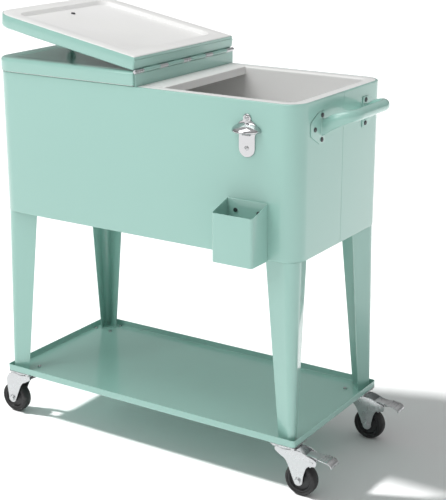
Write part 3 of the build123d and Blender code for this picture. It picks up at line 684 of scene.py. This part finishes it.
# ---- lids ---------------------------------------------------------------------------------------
class COOLER_OT_lids(bpy.types.Operator):
    """Painted covers, white mouldings and turned knobs of both lids"""

    bl_idname = "cooler.lids"
    bl_label = "Lids"

    def execute(self, context):
        sizes = context.scene.cooler_sizes
        low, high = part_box("left_lid_cover")
        self.near, self.far = PIN.x - high.x, PIN.x - low.x
        self.half = (high.y - low.y) / 2
        self.bottom = low.z - high.z
        liner_low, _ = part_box("left_lid_liner")
        self.band = liner_low.z - high.z
        for side, hand in ((-1, "left"), (1, "right")):
            turn = Matrix.Diagonal((-1, 1, 1, 1)) if side < 0 else Matrix.Rotation(radians(-FOLD), 4, "Y")
            shut = Matrix.Translation(PIN) @ turn
            for piece, slot, node_ in (
                (self.cover(sizes), "mint_paint", "lid_cover"),
                (self.moulding(sizes), "white_plastic", "lid_liner"),
                (self.knob(sizes), "polished_steel", "knob"),
            ):
                place(piece, shut)
                piece.name = f"{hand}_{piece.name}"
                finish_piece(piece, slot, f"{hand}_lid", f"{hand}_{node_}")
        return {"FINISHED"}

    def ring(self, inset, z, radius, hinge=0.0):
        """Level outline of a lid, drawn in from its free sides by inset and from the hinge by hinge."""
        low, high = (self.near + hinge, inset - self.half), (self.far - inset, self.half - inset)
        return level(outline(low, high, max(3 * MM - hinge, 1 * MM), radius, 10), z)

    def cover(self, sizes):
        edge, sheet = sizes.lid_edge, sizes.sheet
        corner = 44.5 * MM
        rings = [self.ring(sheet, self.bottom + 8 * MM, corner - sheet, sheet)]
        rings += [
            self.ring(sheet / 2 - x, self.bottom + sheet / 2 + z, corner - sheet / 2 + x, sheet / 2 - x)
            for x, z in arc((0, 0), sheet / 2, -180, 0, 4)
        ]
        rings += [self.ring(edge - x, z - edge, corner - edge + x) for x, z in arc((0, 0), edge, 0, 90, 7)]
        inset, deep = sizes.panel_inset, sizes.panel_depth
        for x, z in ((0, 0), (0.35, 0.12), (1.35, 0.88), (1.8, 1)):
            points = outline(
                (self.near + inset + x * deep, inset + x * deep - self.half),
                (self.far - inset - x * deep, self.half - inset - x * deep), 24 * MM, 24 * MM, 10,
            )
            rings.append(level(points, -z * deep))
        return skin("lid_cover", rings, False, True)

    def moulding(self, sizes):
        """White band round a panel that stands back from it; its show face looks down."""
        gap, lip, rise = 1.5 * MM, 2.5 * MM, 9.5 * MM
        corner = 43 * MM
        rings = [self.ring(gap, self.band + 7 * MM, corner, gap)]
        rings += [
            self.ring(gap + lip - x, self.band + lip - z, corner - lip + x, gap + lip - x)
            for x, z in arc((0, 0), lip, 0, 90, 4)
        ]
        band = sizes.liner_band
        for x, z in ((0, 0), (0.1, 0.03), (0.22, 0.12), (0.62, 0.88), (0.74, 0.97), (0.84, 1)):
            grow = x * rise
            points = outline(
                (self.near + band + grow, band + grow - self.half),
                (self.far - band - grow, self.half - band - grow), 26 * MM, 26 * MM, 10,
            )
            rings.append(level(points, self.band + z * rise))
        return skin("lid_moulding", rings, False, True)

    def knob(self, sizes):
        base = -sizes.panel_depth
        foot = [(0, 0), (8.6, 0), (9, 0.6), (9, 2.4), (8.5, 3)]
        stem = smooth_line([(8.5, 3), (6.9, 7), (8.5, 11.5), (14, 15.4), (18.4, 17.3)], 5)
        dome = smooth_line([(18.4, 17.3), (19, 18.5), (18.4, 20.2), (14, 26), (6.5, 29.3), (0, 30)], 5)
        profile = [*foot, *[tuple(p) for p in stem[1:]], *[tuple(p) for p in dome[1:]]]
        made = turned("lid_knob", [(r * MM, base + z * MM) for r, z in profile], 56)
        low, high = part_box("left_knob")
        return place(made, Matrix.Translation((PIN.x - (low.x + high.x) / 2, 0, 0)))


# ---- end handles --------------------------------------------------------------------------------
class COOLER_OT_handles(bpy.types.Operator):
    """End handles: a bar that flares into two plates, and their cross-head screws"""

    bl_idname = "cooler.handles"
    bl_label = "End handles"

    def execute(self, context):
        sizes = context.scene.cooler_sizes
        _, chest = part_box("shell_rear")
        low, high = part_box("right_handle")
        self.wall, self.rim = chest.x, chest.z
        self.middle = (low.y + high.y) / 2
        self.mirror_x = sum(p.x for p in (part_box("shell_front")[0], chest)) / 2
        screws = []
        for hand in ("right", "left"):
            flip = Matrix.Identity(4)
            if hand == "left":
                flip = (
                    Matrix.Translation((2 * self.mirror_x, 0, 0)) @ Matrix.Diagonal((-1, 1, 1, 1))
                )
            parts = [self.bar(sizes, high.x)]
            parts += [self.foot_plate(s) for s in (-1, 1)]
            made = place(join(f"{hand}_grip", parts), flip)
            finish_piece(made, "mint_paint", "cabinet", f"{hand}_handle")
            for s in (-1, 1):
                for y, drop in ((99, 32.5), (128, 58.3), (99, 83.5)):
                    spot = Vector((self.wall + 2 * MM, self.middle + s * y * MM, self.rim - drop * MM))
                    head = screw("handle_screw", sizes.screw_head, 2.6 * MM, facing(spot, (1, 0, 0)))
                    screws.append(place(head, flip))
        finish_piece(join("handle_screw_heads", screws), "dark_steel", "cabinet", "handle_screws")
        return {"FINISHED"}

    def bar(self, sizes, outer):
        """One tube from plate to plate: tall flared root, horn that turns in, then the round grip."""
        grip = sizes.grip
        reach = outer - grip - self.wall
        level_, root = self.rim - 33 * MM, self.rim - 58 * MM
        half = []
        # out from the wall, along the wall, height, half height, half thickness
        for out, along, z, tall, thick in (
            (1, 95, root, 19.5, 9.8), (2.4, 95, root, 18.6, 8.6), (5, 95, root + 0.5 * MM, 17.8, 7.6),
            (11, 94.6, root + 3.5 * MM, 17.2, 7.3), (23, 92.5, level_ - 14 * MM, 16.6, 8.6),
            (36, 89.5, level_ - 8 * MM, 15.3, 10), (48, 84, level_ - 3.4 * MM, 13.8, 11.1),
            (57, 75, level_ - 0.9 * MM, 12.5, 11.8), (reach / MM, 60, level_, 12, 12),
            (reach / MM, 40, level_, 12, 12), (reach / MM, 14, level_, 12, 12),
        ):
            half.append((out * MM, along * MM, z, tall * MM, thick * MM))
        path = half + [(o, -a, z, tall, thick) for o, a, z, tall, thick in reversed(half)]
        fine = smooth_line(path, 5)
        rings = []
        for i, (out, along, z, tall, thick) in enumerate(fine):
            before, after = fine[max(i - 1, 0)], fine[min(i + 1, len(fine) - 1)]
            ahead = Vector((after[0] - before[0], after[1] - before[1], 0))
            if i < 4 or i > len(fine) - 5:
                ahead = Vector((1 if i < 4 else -1, 0, 0))
            side = Vector((0, 0, 1)).cross(ahead.normalized())
            middle = Vector((self.wall + out, self.middle + along, z))
            turn = [2 * pi * k / 32 for k in range(32)]
            rings.append([middle + side * thick * cos(a) + Vector((0, 0, tall * sin(a))) for a in turn])
        return skin("bar", rings)

    def foot_plate(self, s):
        """Chamfered plate; its outer end is narrower, and its edges are softened."""
        points = [(86, 33), (112, 33), (145, 16), (145, -12), (108, -34), (86, -34)]
        flat = [(y * MM, z * MM) for y, z in points]
        made = plate("foot", rounded(flat, 4 * MM), 2 * MM, 0.7 * MM)
        turn = Matrix(((0, 0, 1, 0), (s, 0, 0, 0), (0, 1, 0, 0), (0, 0, 0, 1)))
        spot = Vector((self.wall, self.middle, self.rim - 58 * MM))
        return place(made, Matrix.Translation(spot) @ turn)


# ---- bottle opener and cap catcher --------------------------------------------------------------
class COOLER_OT_opener(bpy.types.Operator):
    """Cast bottle opener with its screws, and the catcher box under it"""

    bl_idname = "cooler.opener"
    bl_label = "Opener and catcher"

    def execute(self, context):
        low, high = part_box("bottle_opener")
        self.x, self.wall = (low.x + high.x) / 2, high.y
        self.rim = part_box("shell_front")[1].z
        parts = [self.back(), self.hood(), self.tooth()]
        finish_piece(join("opener_casting", parts), "polished_steel", "cabinet", "bottle_opener")
        heads = []
        for drop in (35.9, 97.8):
            spot = Vector((self.x, self.wall - 3.5 * MM, self.rim - drop * MM))
            heads.append(screw("opener_screw", 4.8 * MM, 2.4 * MM, facing(spot, (0, -1, 0))))
        finish_piece(join("opener_screw_heads", heads), "zinc", "cabinet", "opener_screws")
        self.catcher()
        return {"FINISHED"}

    def back(self):
        """Back plate: a small ear above, the shoulders behind the hood and a round tongue below."""
        def half_width(drop):
            ear = 9 ** 2 - (drop - 35.9) ** 2
            shoulder = 1 - ((drop - 58) / 19) ** 2
            tongue = 19 if 58 < drop < 97.8 else sqrt(max(19 ** 2 - (drop - 97.8) ** 2, 0))
            wide = max(sqrt(max(ear, 0)), 24.5 * sqrt(max(shoulder, 0)), tongue if drop > 58 else 0)
            return wide * MM

        drops = [26.9 + (116.8 - 26.9) * (0.5 - 0.5 * cos(pi * i / 64)) for i in range(65)]
        wide = [half_width(d) for d in drops]
        eased = [wide[0]] + [(a + 2 * b + c) / 4 for a, b, c in zip(wide, wide[1:], wide[2:])] + [wide[-1]]
        right = [(w, -d * MM) for w, d in zip(eased, drops)]
        points = [(-x, y) for x, y in right[1:-1]] + right[::-1]
        made = plate("back", points, 3.5 * MM, 1.1 * MM)
        return place(made, facing((self.x, self.wall, self.rim), (0, -1, 0)))

    def hood(self):
        """Visor over the bottle neck: rounded crown, flared lip, hollow from below."""
        def ring(drop, wide, reach):
            back, z = self.wall - 0.4 * MM, self.rim - drop * MM
            turn = [pi + pi * i / 32 for i in range(33)]
            return [Vector((self.x + wide * MM * cos(a), back + reach * MM * sin(a), z)) for a in turn]

        # below the rim, half width, reach from the wall
        crown = [(44.8, 8, 4.4), (46.5, 15.5, 9), (50.5, 24.5, 18), (56, 31.5, 27.8), (60, 33, 30.8)]
        hollow = [(64, 29.2, 27.2), (62.5, 28.4, 26.2), (57, 26.6, 23), (52, 19.5, 13), (48.6, 11, 5.4)]
        outside = smooth_line(crown, 4)
        outside += smooth_line([(61.5, 32.9, 31), (63.4, 31.8, 29.8), (64, 30.4, 28.4)], 3)
        rings = [ring(*row) for row in [*outside, *smooth_line(hollow, 3)]]
        return skin("hood", rings)

    def tooth(self):
        """Blunt tooth that catches a cap."""
        rings = []
        for out, wide, tall in ((0, 10, 2.2), (7, 9.4, 1.9), (9, 8.6, 1.5), (9.8, 7.2, 0.7)):
            corner = tall * MM * 0.8
            flat = outline((-wide * MM, -tall * MM), (wide * MM, tall * MM), corner, corner, 4)
            rings.append(level(flat, out * MM))
        spot = (self.x, self.wall - 0.2 * MM, self.rim - 70 * MM)
        return place(skin("tooth", rings), facing(spot, (0, -1, 0)))

    def catcher(self):
        """Folded sheet box whose mouth slopes to the front, with rolled edges."""
        low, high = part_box("cap_catcher")
        sheet, fold, dip = 1.2 * MM, 6 * MM, 19 * MM

        def ring(inset, z, slope=False, radius=fold):
            near, far = (low.x + inset, low.y + inset), (high.x - inset, high.y - min(inset, sheet))
            points = front_rounded(near, far, max(radius, 1 * MM))
            deep = high.y - low.y
            return [Vector((x, y, z - (dip * (high.y - y) / deep if slope else 0))) for x, y in points]

        rings = [ring(2.4 * MM, low.z, False, fold - 2.4 * MM)]
        rings += [
            ring(2.4 * MM - x, low.z + 2.4 * MM + z, False, fold - 2.4 * MM + x)
            for x, z in arc((0, 0), 2.4 * MM, -70, 0, 4)
        ]
        half = sheet / 2
        rings += [
            ring(half - x, high.z - half + z, True, fold - half + x) for x, z in arc((0, 0), half, 0, 180, 6)
        ]
        floor = low.z + sheet
        rings += [
            ring(sheet + 2 * MM - x, floor + 2 * MM + z, False, fold - sheet - 2 * MM + x)
            for x, z in arc((0, 0), 2 * MM, 0, -90, 4)
        ]
        finish_piece(skin("catcher_box", rings), "mint_paint", "cabinet", "cap_catcher")


# ---- shelf tray ---------------------------------------------------------------------------------
class COOLER_OT_tray(bpy.types.Operator):
    """Pressed shelf tray with rounded folds and a rolled lip"""

    bl_idname = "cooler.tray"
    bl_label = "Shelf tray"

    def execute(self, context):
        low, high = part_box("tray")
        sheet, fold, corner = 1.5 * MM, 3.5 * MM, 7 * MM

        def ring(inset, z, radius):
            return inset_ring(low, high, inset, z, max(radius, 1 * MM), 8)

        rings = [ring(fold, low.z, corner - fold)]
        rings += [
            ring(fold - x, low.z + fold + z, corner - fold + x) for x, z in arc((0, 0), fold, -80, 0, 5)
        ]
        half = sheet / 2
        rings += [
            ring(half - x, high.z - half + z, corner - half + x) for x, z in arc((0, 0), half, 0, 180, 6)
        ]
        floor, inner = low.z + sheet, fold - sheet / 2
        rings += [
            ring(sheet + inner - x, floor + inner + z, corner - sheet - inner + x)
            for x, z in arc((0, 0), inner, 0, -90, 5)
        ]
        finish_piece(skin("shelf_tray", rings), "mint_paint", "cabinet", "tray")
        return {"FINISHED"}


# ---- casters ------------------------------------------------------------------------------------
class COOLER_OT_casters(bpy.types.Operator):
    """Swivel casters: race rings, pressed forks, tyres, hub cores and the brake pedals"""

    bl_idname = "cooler.casters"
    bl_label = "Casters"

    def execute(self, context):
        for corner in CORNERS:
            self.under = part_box("tray")[0].z
            tyre_low, tyre_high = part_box(f"{corner}_tyre")
            self.axle = (tyre_low + tyre_high) / 2
            self.radius = (tyre_high.z - tyre_low.z) / 2
            self.out = 1 if "right" in corner else -1
            self.swivel = self.axle.x - self.out * 34 * MM
            self.wheel(corner)
            self.fork(corner)
            if self.out > 0:
                self.pedal(corner)
        self.plates()
        return {"FINISHED"}

    def side_on(self):
        """Matrix from (out from the swivel, up from the tray's underside, sideways) to the cart."""
        turn = Matrix(((self.out, 0, 0, 0), (0, 0, -self.out, 0), (0, 1, 0, 0), (0, 0, 0, 1)))
        return Matrix.Translation((self.swivel, self.axle.y, self.under)) @ turn

    def wheel(self, corner):
        hub = self.radius - 9 * MM
        lie = facing(self.axle, (0, -1, 0))
        tread = [(hub, -11), (hub + 1 * MM, -12.1), (hub + 3 * MM, -12.5), (self.radius - 5 * MM, -12.4)]
        rise = [(-4, -12.2), (-1.4, -9.6), (-0.3, -5), (0, 0), (-0.3, 5), (-1.4, 9.6), (-4, 12.2)]
        crown = smooth_line([(self.radius + r, z) for r, z in scaled(rise)], 4)
        profile = [(r, z * MM) for r, z in tread] + [tuple(p) for p in crown]
        profile += [(r, -z * MM) for r, z in reversed(tread)]
        tread = place(turned_ring(f"{corner}_tread", profile, 72), lie)
        finish_piece(tread, "tyre", f"{corner}_roller", f"{corner}_tyre")
        half = [
            (4.1, 15.1), (8, 15.1), (9, 14.4), (9.6, 12), (10.4, 7.6), (12.5, 6.6), (19, 6), (22.5, 6),
            (24, 7.5), (24.9, 10.2), (25.8, 11), (28.4, 11),
        ]
        core = scaled(half) + [(r * MM, -z * MM) for r, z in reversed(half)]
        core = place(turned_ring(f"{corner}_core", core, 56), lie)
        finish_piece(core, "wheel_plastic", f"{corner}_roller", f"{corner}_wheel")

    def fork(self, corner):
        """Pressed fork: two cheeks that narrow to the axle, a crown between them and the lower race."""
        drop = (self.axle.z - self.under) / MM
        brow = [(24, -9.6), (38, -14), (47, -24), (50, -38)]
        if self.out > 0:
            brow = [
                (24, -9.6), (40, -10.5), (60, -17.5), (76, -23), (77.5, -30), (74, -37), (60, -39.5), (51.5, -49),
            ]
        tip = [(45.5, 8), (44.6, -3), (39.5, -9.6), (34, -11), (28.4, -9.6), (23.3, -2.5)]
        rear = [(4, -40), (-12, -29), (-22, -22.5), (-24.8, -19), (-25, -12)]
        loop = scaled([*brow, *[(x, drop + z) for x, z in tip], *rear])
        loop = [tuple(p) for p in smooth_line(loop, 4)]
        loop.append((-23.5 * MM, -9.7 * MM))
        parts = []
        for s in (-1, 1):
            cheek = plate("cheek", loop, 2.5 * MM, 0.8 * MM)
            shift = Matrix.Translation((0, 0, 15.5 * MM if s > 0 else -18 * MM))
            parts.append(place(cheek, self.side_on() @ shift))
        bridge = rounded(scaled([(-25, -18), (25, -18), (25, 18), (-25, 18)]), 5 * MM)
        crown = plate("crown", bridge, 2.6 * MM, 0.8 * MM)
        spot = Matrix.Translation((self.swivel, self.axle.y, self.under - 12.2 * MM))
        parts.append(place(crown, spot))
        race = [
            (6, -12.6), (21.5, -12.6), (23.6, -11.9), (24.2, -10.6), (23.8, -9.2), (22.3, -8.4), (6, -8.4),
        ]
        spin = Matrix.Translation((self.swivel, self.axle.y, self.under))
        parts.append(place(turned_ring("race", scaled(race), 56), spin))
        stud = [(0, -10), (6, -10), (6, -4.6), (11, -4.6), (11, -2.2), (10, -1.6), (6, -1.5), (0, -1.5)]
        parts.append(place(turned("stud", scaled(stud), 32), spin))
        rivet = [(0, -16.6), (5, -16.4), (7.6, -15.2), (8.6, -13.4), (8.6, -12.2), (0, -12.2)]
        parts.append(place(turned("rivet", scaled(rivet), 32), spin))
        if self.out > 0:
            end = [(0, -19.6), (3.4, -19.4), (4.2, -18.6), (4.2, -18), (3, -18)]
            pin = end + [(r, -z) for r, z in reversed(end)]
            spot = Vector((self.swivel + 66 * MM, self.axle.y, self.under - 30 * MM))
            made = turned("pin", scaled(pin), 24)
            parts.append(place(made, facing(spot, (0, -1, 0))))
        made = join(f"{corner}_yoke", parts)
        finish_piece(made, "zinc", f"{corner}_caster", f"{corner}_fork")
        parts = []
        for s in (-1, 1):
            spot = self.axle + Vector((0, s * 18 * MM, 0))
            turn = facing(spot, (0, s, 0))
            washer = [(4, 0), (8.4, 0), (8.8, 0.3), (8.8, 0.9), (8.4, 1.2), (4, 1.2)]
            parts.append(place(turned_ring("washer", scaled(washer), 32), turn))
            parts.append(hexagon("nut", 12.4 * MM, 4.4 * MM, turn))
        rod = turned("rod", scaled([(0, -19.4), (3.9, -19.3), (3.9, 19.3), (0, 19.4)]), 24)
        parts.append(place(rod, facing(self.axle, (0, -1, 0))))
        finish_piece(join(f"{corner}_axle_bolt", parts), "zinc", f"{corner}_caster", f"{corner}_axle")

    def pedal(self, corner):
        """Pressed pedal: ears on the pin, a ribbed tread that curls down at the tip, and the cam."""
        spine = smooth_line([(50, -17.2), (64, -17.5), (78, -18.2), (90, -19.6), (101, -21), (108, -23.2),
                             (111.8, -27), (113, -31)], 14)
        top, under, width = [], [], []
        for i, (x, z) in enumerate(spine):
            a, b = spine[max(i - 1, 0)], spine[min(i + 1, len(spine) - 1)]
            ahead = (Vector(b) - Vector(a)).normalized()
            rib = 0.0
            if 83 < x < 104:
                rib = 1.1 * max(cos((x - 84) / 6 * 2 * pi), 0) ** 2
            top.append((x - ahead.y * (1.2 + rib), z + ahead.x * (1.2 + rib)))
            under.append((x + ahead.y * 1.2, z - ahead.x * 1.2))
            width.append(13.5 + 4.5 * min(max((x - 76) / 7, 0), 1) - 1.2 * min(max((x - 108) / 5, 0), 1))
        rings = []
        for (tx, tz), (ux, uz), w in zip(top, under, width):
            section = (
                (tx, tz, -w + 0.8), (tx, tz, w - 0.8), (tx, tz - 0.5, w), (ux, uz + 0.5, w),
                (ux, uz, w - 0.8), (ux, uz, -w + 0.8), (ux, uz + 0.5, -w), (tx, tz - 0.5, -w),
            )
            rings.append([Vector(p) * MM for p in section])
        side = self.side_on()
        tread = place(skin("tread", rings), side)
        parts = [tread]
        ear = scaled([(52, -17.6), (77, -18.6), (75, -30), (70, -35.6), (62, -36), (57, -32)])
        for s in (-1, 1):
            made = plate("ear", rounded(ear, 2.5 * MM), 2.4 * MM, 0.6 * MM)
            parts.append(place(made, side @ Matrix.Translation((0, 0, 11.1 * MM if s > 0 else -13.5 * MM))))
        toe = rounded(scaled([(-4, -5), (4, -5), (4, 17.2), (-4, 17.2)]), 2.6 * MM)
        cam = plate("cam", toe, 21.6 * MM, 0.8 * MM)
        lean = Matrix.Rotation(radians(180 - 34.5), 4, "Z")
        spot = Matrix.Translation((66 * MM, -30 * MM, -10.8 * MM)) @ lean
        parts.append(place(cam, side @ spot))
        finish_piece(join(f"{corner}_pedal_tread", parts), "zinc", f"{corner}_pedal", f"{corner}_brake_pedal")

    def plates(self):
        """Square top plates with rounded corners, each with its pressed race ring."""
        parts = []
        for corner in CORNERS:
            tyre_low, tyre_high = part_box(f"{corner}_tyre")
            middle = (tyre_low + tyre_high) / 2
            out = 1 if "right" in corner else -1
            spot = Matrix.Translation((middle.x - out * 34 * MM, middle.y, self.under - 2.5 * MM))
            square = [(x * 30 * MM, y * 30 * MM) for x, y in ((-1, -1), (1, -1), (1, 1), (-1, 1))]
            parts.append(place(plate("top", rounded(square, 4 * MM), 2.5 * MM, 0.5 * MM), spot))
            cup = [
                (16.6, -0.4), (17.2, -4.6), (19, -5.5), (23.6, -5.5), (25.4, -4.9), (26, -3.6),
                (25.8, -1.6), (25, 0.1), (20, 0.2),
            ]
            parts.append(place(turned_ring("cup", scaled(reversed(cup)), 56), spot))
        finish_piece(join("caster_top_plates", parts), "zinc", "cabinet", "caster_plates")


# ---- stage --------------------------------------------------------------------------------------
class COOLER_OT_finishes(bpy.types.Operator):
    """Make every finish and give each piece of the frame its own"""

    bl_idname = "cooler.finishes"
    bl_label = "Finishes"

    def execute(self, context):
        build_effects()
        colours = context.scene.cooler_finishes
        for slot, make in FINISHES.items():
            MATERIALS[slot] = make(colours)
        for row in frame["record"]["subparts"]:
            piece = NODES[row["node"]]
            piece.data.materials.clear()
            piece.data.materials.append(MATERIALS[row["material_slot"]])
        return {"FINISHED"}


class COOLER_OT_stage(bpy.types.Operator):
    """Pale floor, soft lights and the camera"""

    bl_idname = "cooler.stage"
    bl_label = "Stage"

    def execute(self, context):
        stage = context.scene.cooler_stage
        self.lights(stage, self.floor(stage))
        self.camera(context.scene, stage)
        return {"FINISHED"}

    def floor(self, stage):
        far = 40.0
        corners = [(-far, -far, 0), (far, -far, 0), (far, far, 0), (-far, far, 0)]
        floor = mesh_piece("studio_floor", corners, [(0, 1, 2, 3)])
        made = Finish("studio_floor", stage.floor, Roughness=0.9)
        dull = tuple(v * 0.985 for v in stage.floor)
        made.feed("Base Color", made.colours(stage.floor, dull, made.noise(0.7)))
        floor.data.materials.append(made.material)
        return floor

    def lights(self, stage, floor):
        world = bpy.data.worlds.new("Studio")
        bpy.context.scene.world = world
        world.use_nodes = True
        tree = world.node_tree
        sky = tree.nodes["Background"]
        height = node(tree, "SeparateXYZ", {0: node(tree, "TexCoord").outputs["Generated"]})
        bright = spread(tree, height.outputs[2], 0.0, 0.7, stage.fill * 0.45, stage.fill * 1.5)
        sky.inputs[0].default_value = (1, 1, 1, 1)
        tree.links.new(bright, sky.inputs[1])
        sun = bpy.data.lights.new("sun", "SUN")
        sun.energy = stage.sun
        sun.angle = radians(5)
        lamps = [(sun, (-3.9, -1.42, 4.6), "INCLUDE")]
        for name, power, size, spot in (
            ("key", stage.key, 2.4, (-1.6, -3.6, 3.4)),
            ("top", stage.top, 2.2, (-0.5, -0.8, 4.0)),
            ("side", stage.side, 1.8, (3.4, -1.6, 2.2)),
        ):
            soft = bpy.data.lights.new(name, "AREA")
            soft.size, soft.energy = size, power
            lamps.append((soft, spot, "EXCLUDE"))
        for lamp, spot, state in lamps:
            lit = bpy.data.objects.new(lamp.name, lamp)
            bpy.context.scene.collection.objects.link(lit)
            lit.matrix_world = facing(spot, Vector(spot) - Vector((0, 0, 0.5)))
            reached = bpy.data.collections.new(f"{lamp.name} reach")
            reached.objects.link(floor)
            reached.collection_objects[0].light_linking.link_state = state
            lit.light_linking.receiver_collection = reached

    def camera(self, scene, stage):
        lens = bpy.data.cameras.new("Camera")
        lens.lens = stage.lens
        lens.sensor_width = 36
        lens.clip_end = 200
        eye = bpy.data.objects.new("Camera", lens)
        eye.location = stage.eye
        eye.rotation_euler = (pi / 2 - stage.elevation, 0, stage.azimuth)
        scene.collection.objects.link(eye)
        scene.camera = eye
        scene.view_settings.view_transform = "Standard"


# ---- add-on -------------------------------------------------------------------------------------
OPERATORS = (
    COOLER_OT_finishes, COOLER_OT_stage, COOLER_OT_chest, COOLER_OT_lids, COOLER_OT_handles, COOLER_OT_opener,
    COOLER_OT_tray, COOLER_OT_casters,
)
SETTINGS = {"cooler_finishes": CoolerFinishes, "cooler_sizes": CoolerSizes, "cooler_stage": CoolerStage}


class COOLER_PT_panel(bpy.types.Panel):
    """Lists the cart's pieces and settings"""

    bl_idname = "COOLER_PT_panel"
    bl_label = "Patio cooler cart"
    bl_space_type = "VIEW_3D"
    bl_region_type = "UI"
    bl_category = "Cooler"

    def draw(self, context):
        for made in OPERATORS:
            self.layout.operator(made.bl_idname)
        for name, group in SETTINGS.items():
            box = self.layout.box()
            for key in group.__annotations__:
                box.prop(getattr(context.scene, name), key)


def register():
    for made in (*SETTINGS.values(), *OPERATORS, COOLER_PT_panel):
        bpy.utils.register_class(made)
    for name, group in SETTINGS.items():
        setattr(bpy.types.Scene, name, bpy.props.PointerProperty(type=group))


def unregister():
    for name in SETTINGS:
        delattr(bpy.types.Scene, name)
    for made in reversed((*SETTINGS.values(), *OPERATORS, COOLER_PT_panel)):
        bpy.utils.unregister_class(made)


def main():
    register()
    for made in OPERATORS:
        group, name = made.bl_idname.split(".")
        getattr(getattr(bpy.ops, group), name)()


if __name__ == "__main__":
    main()
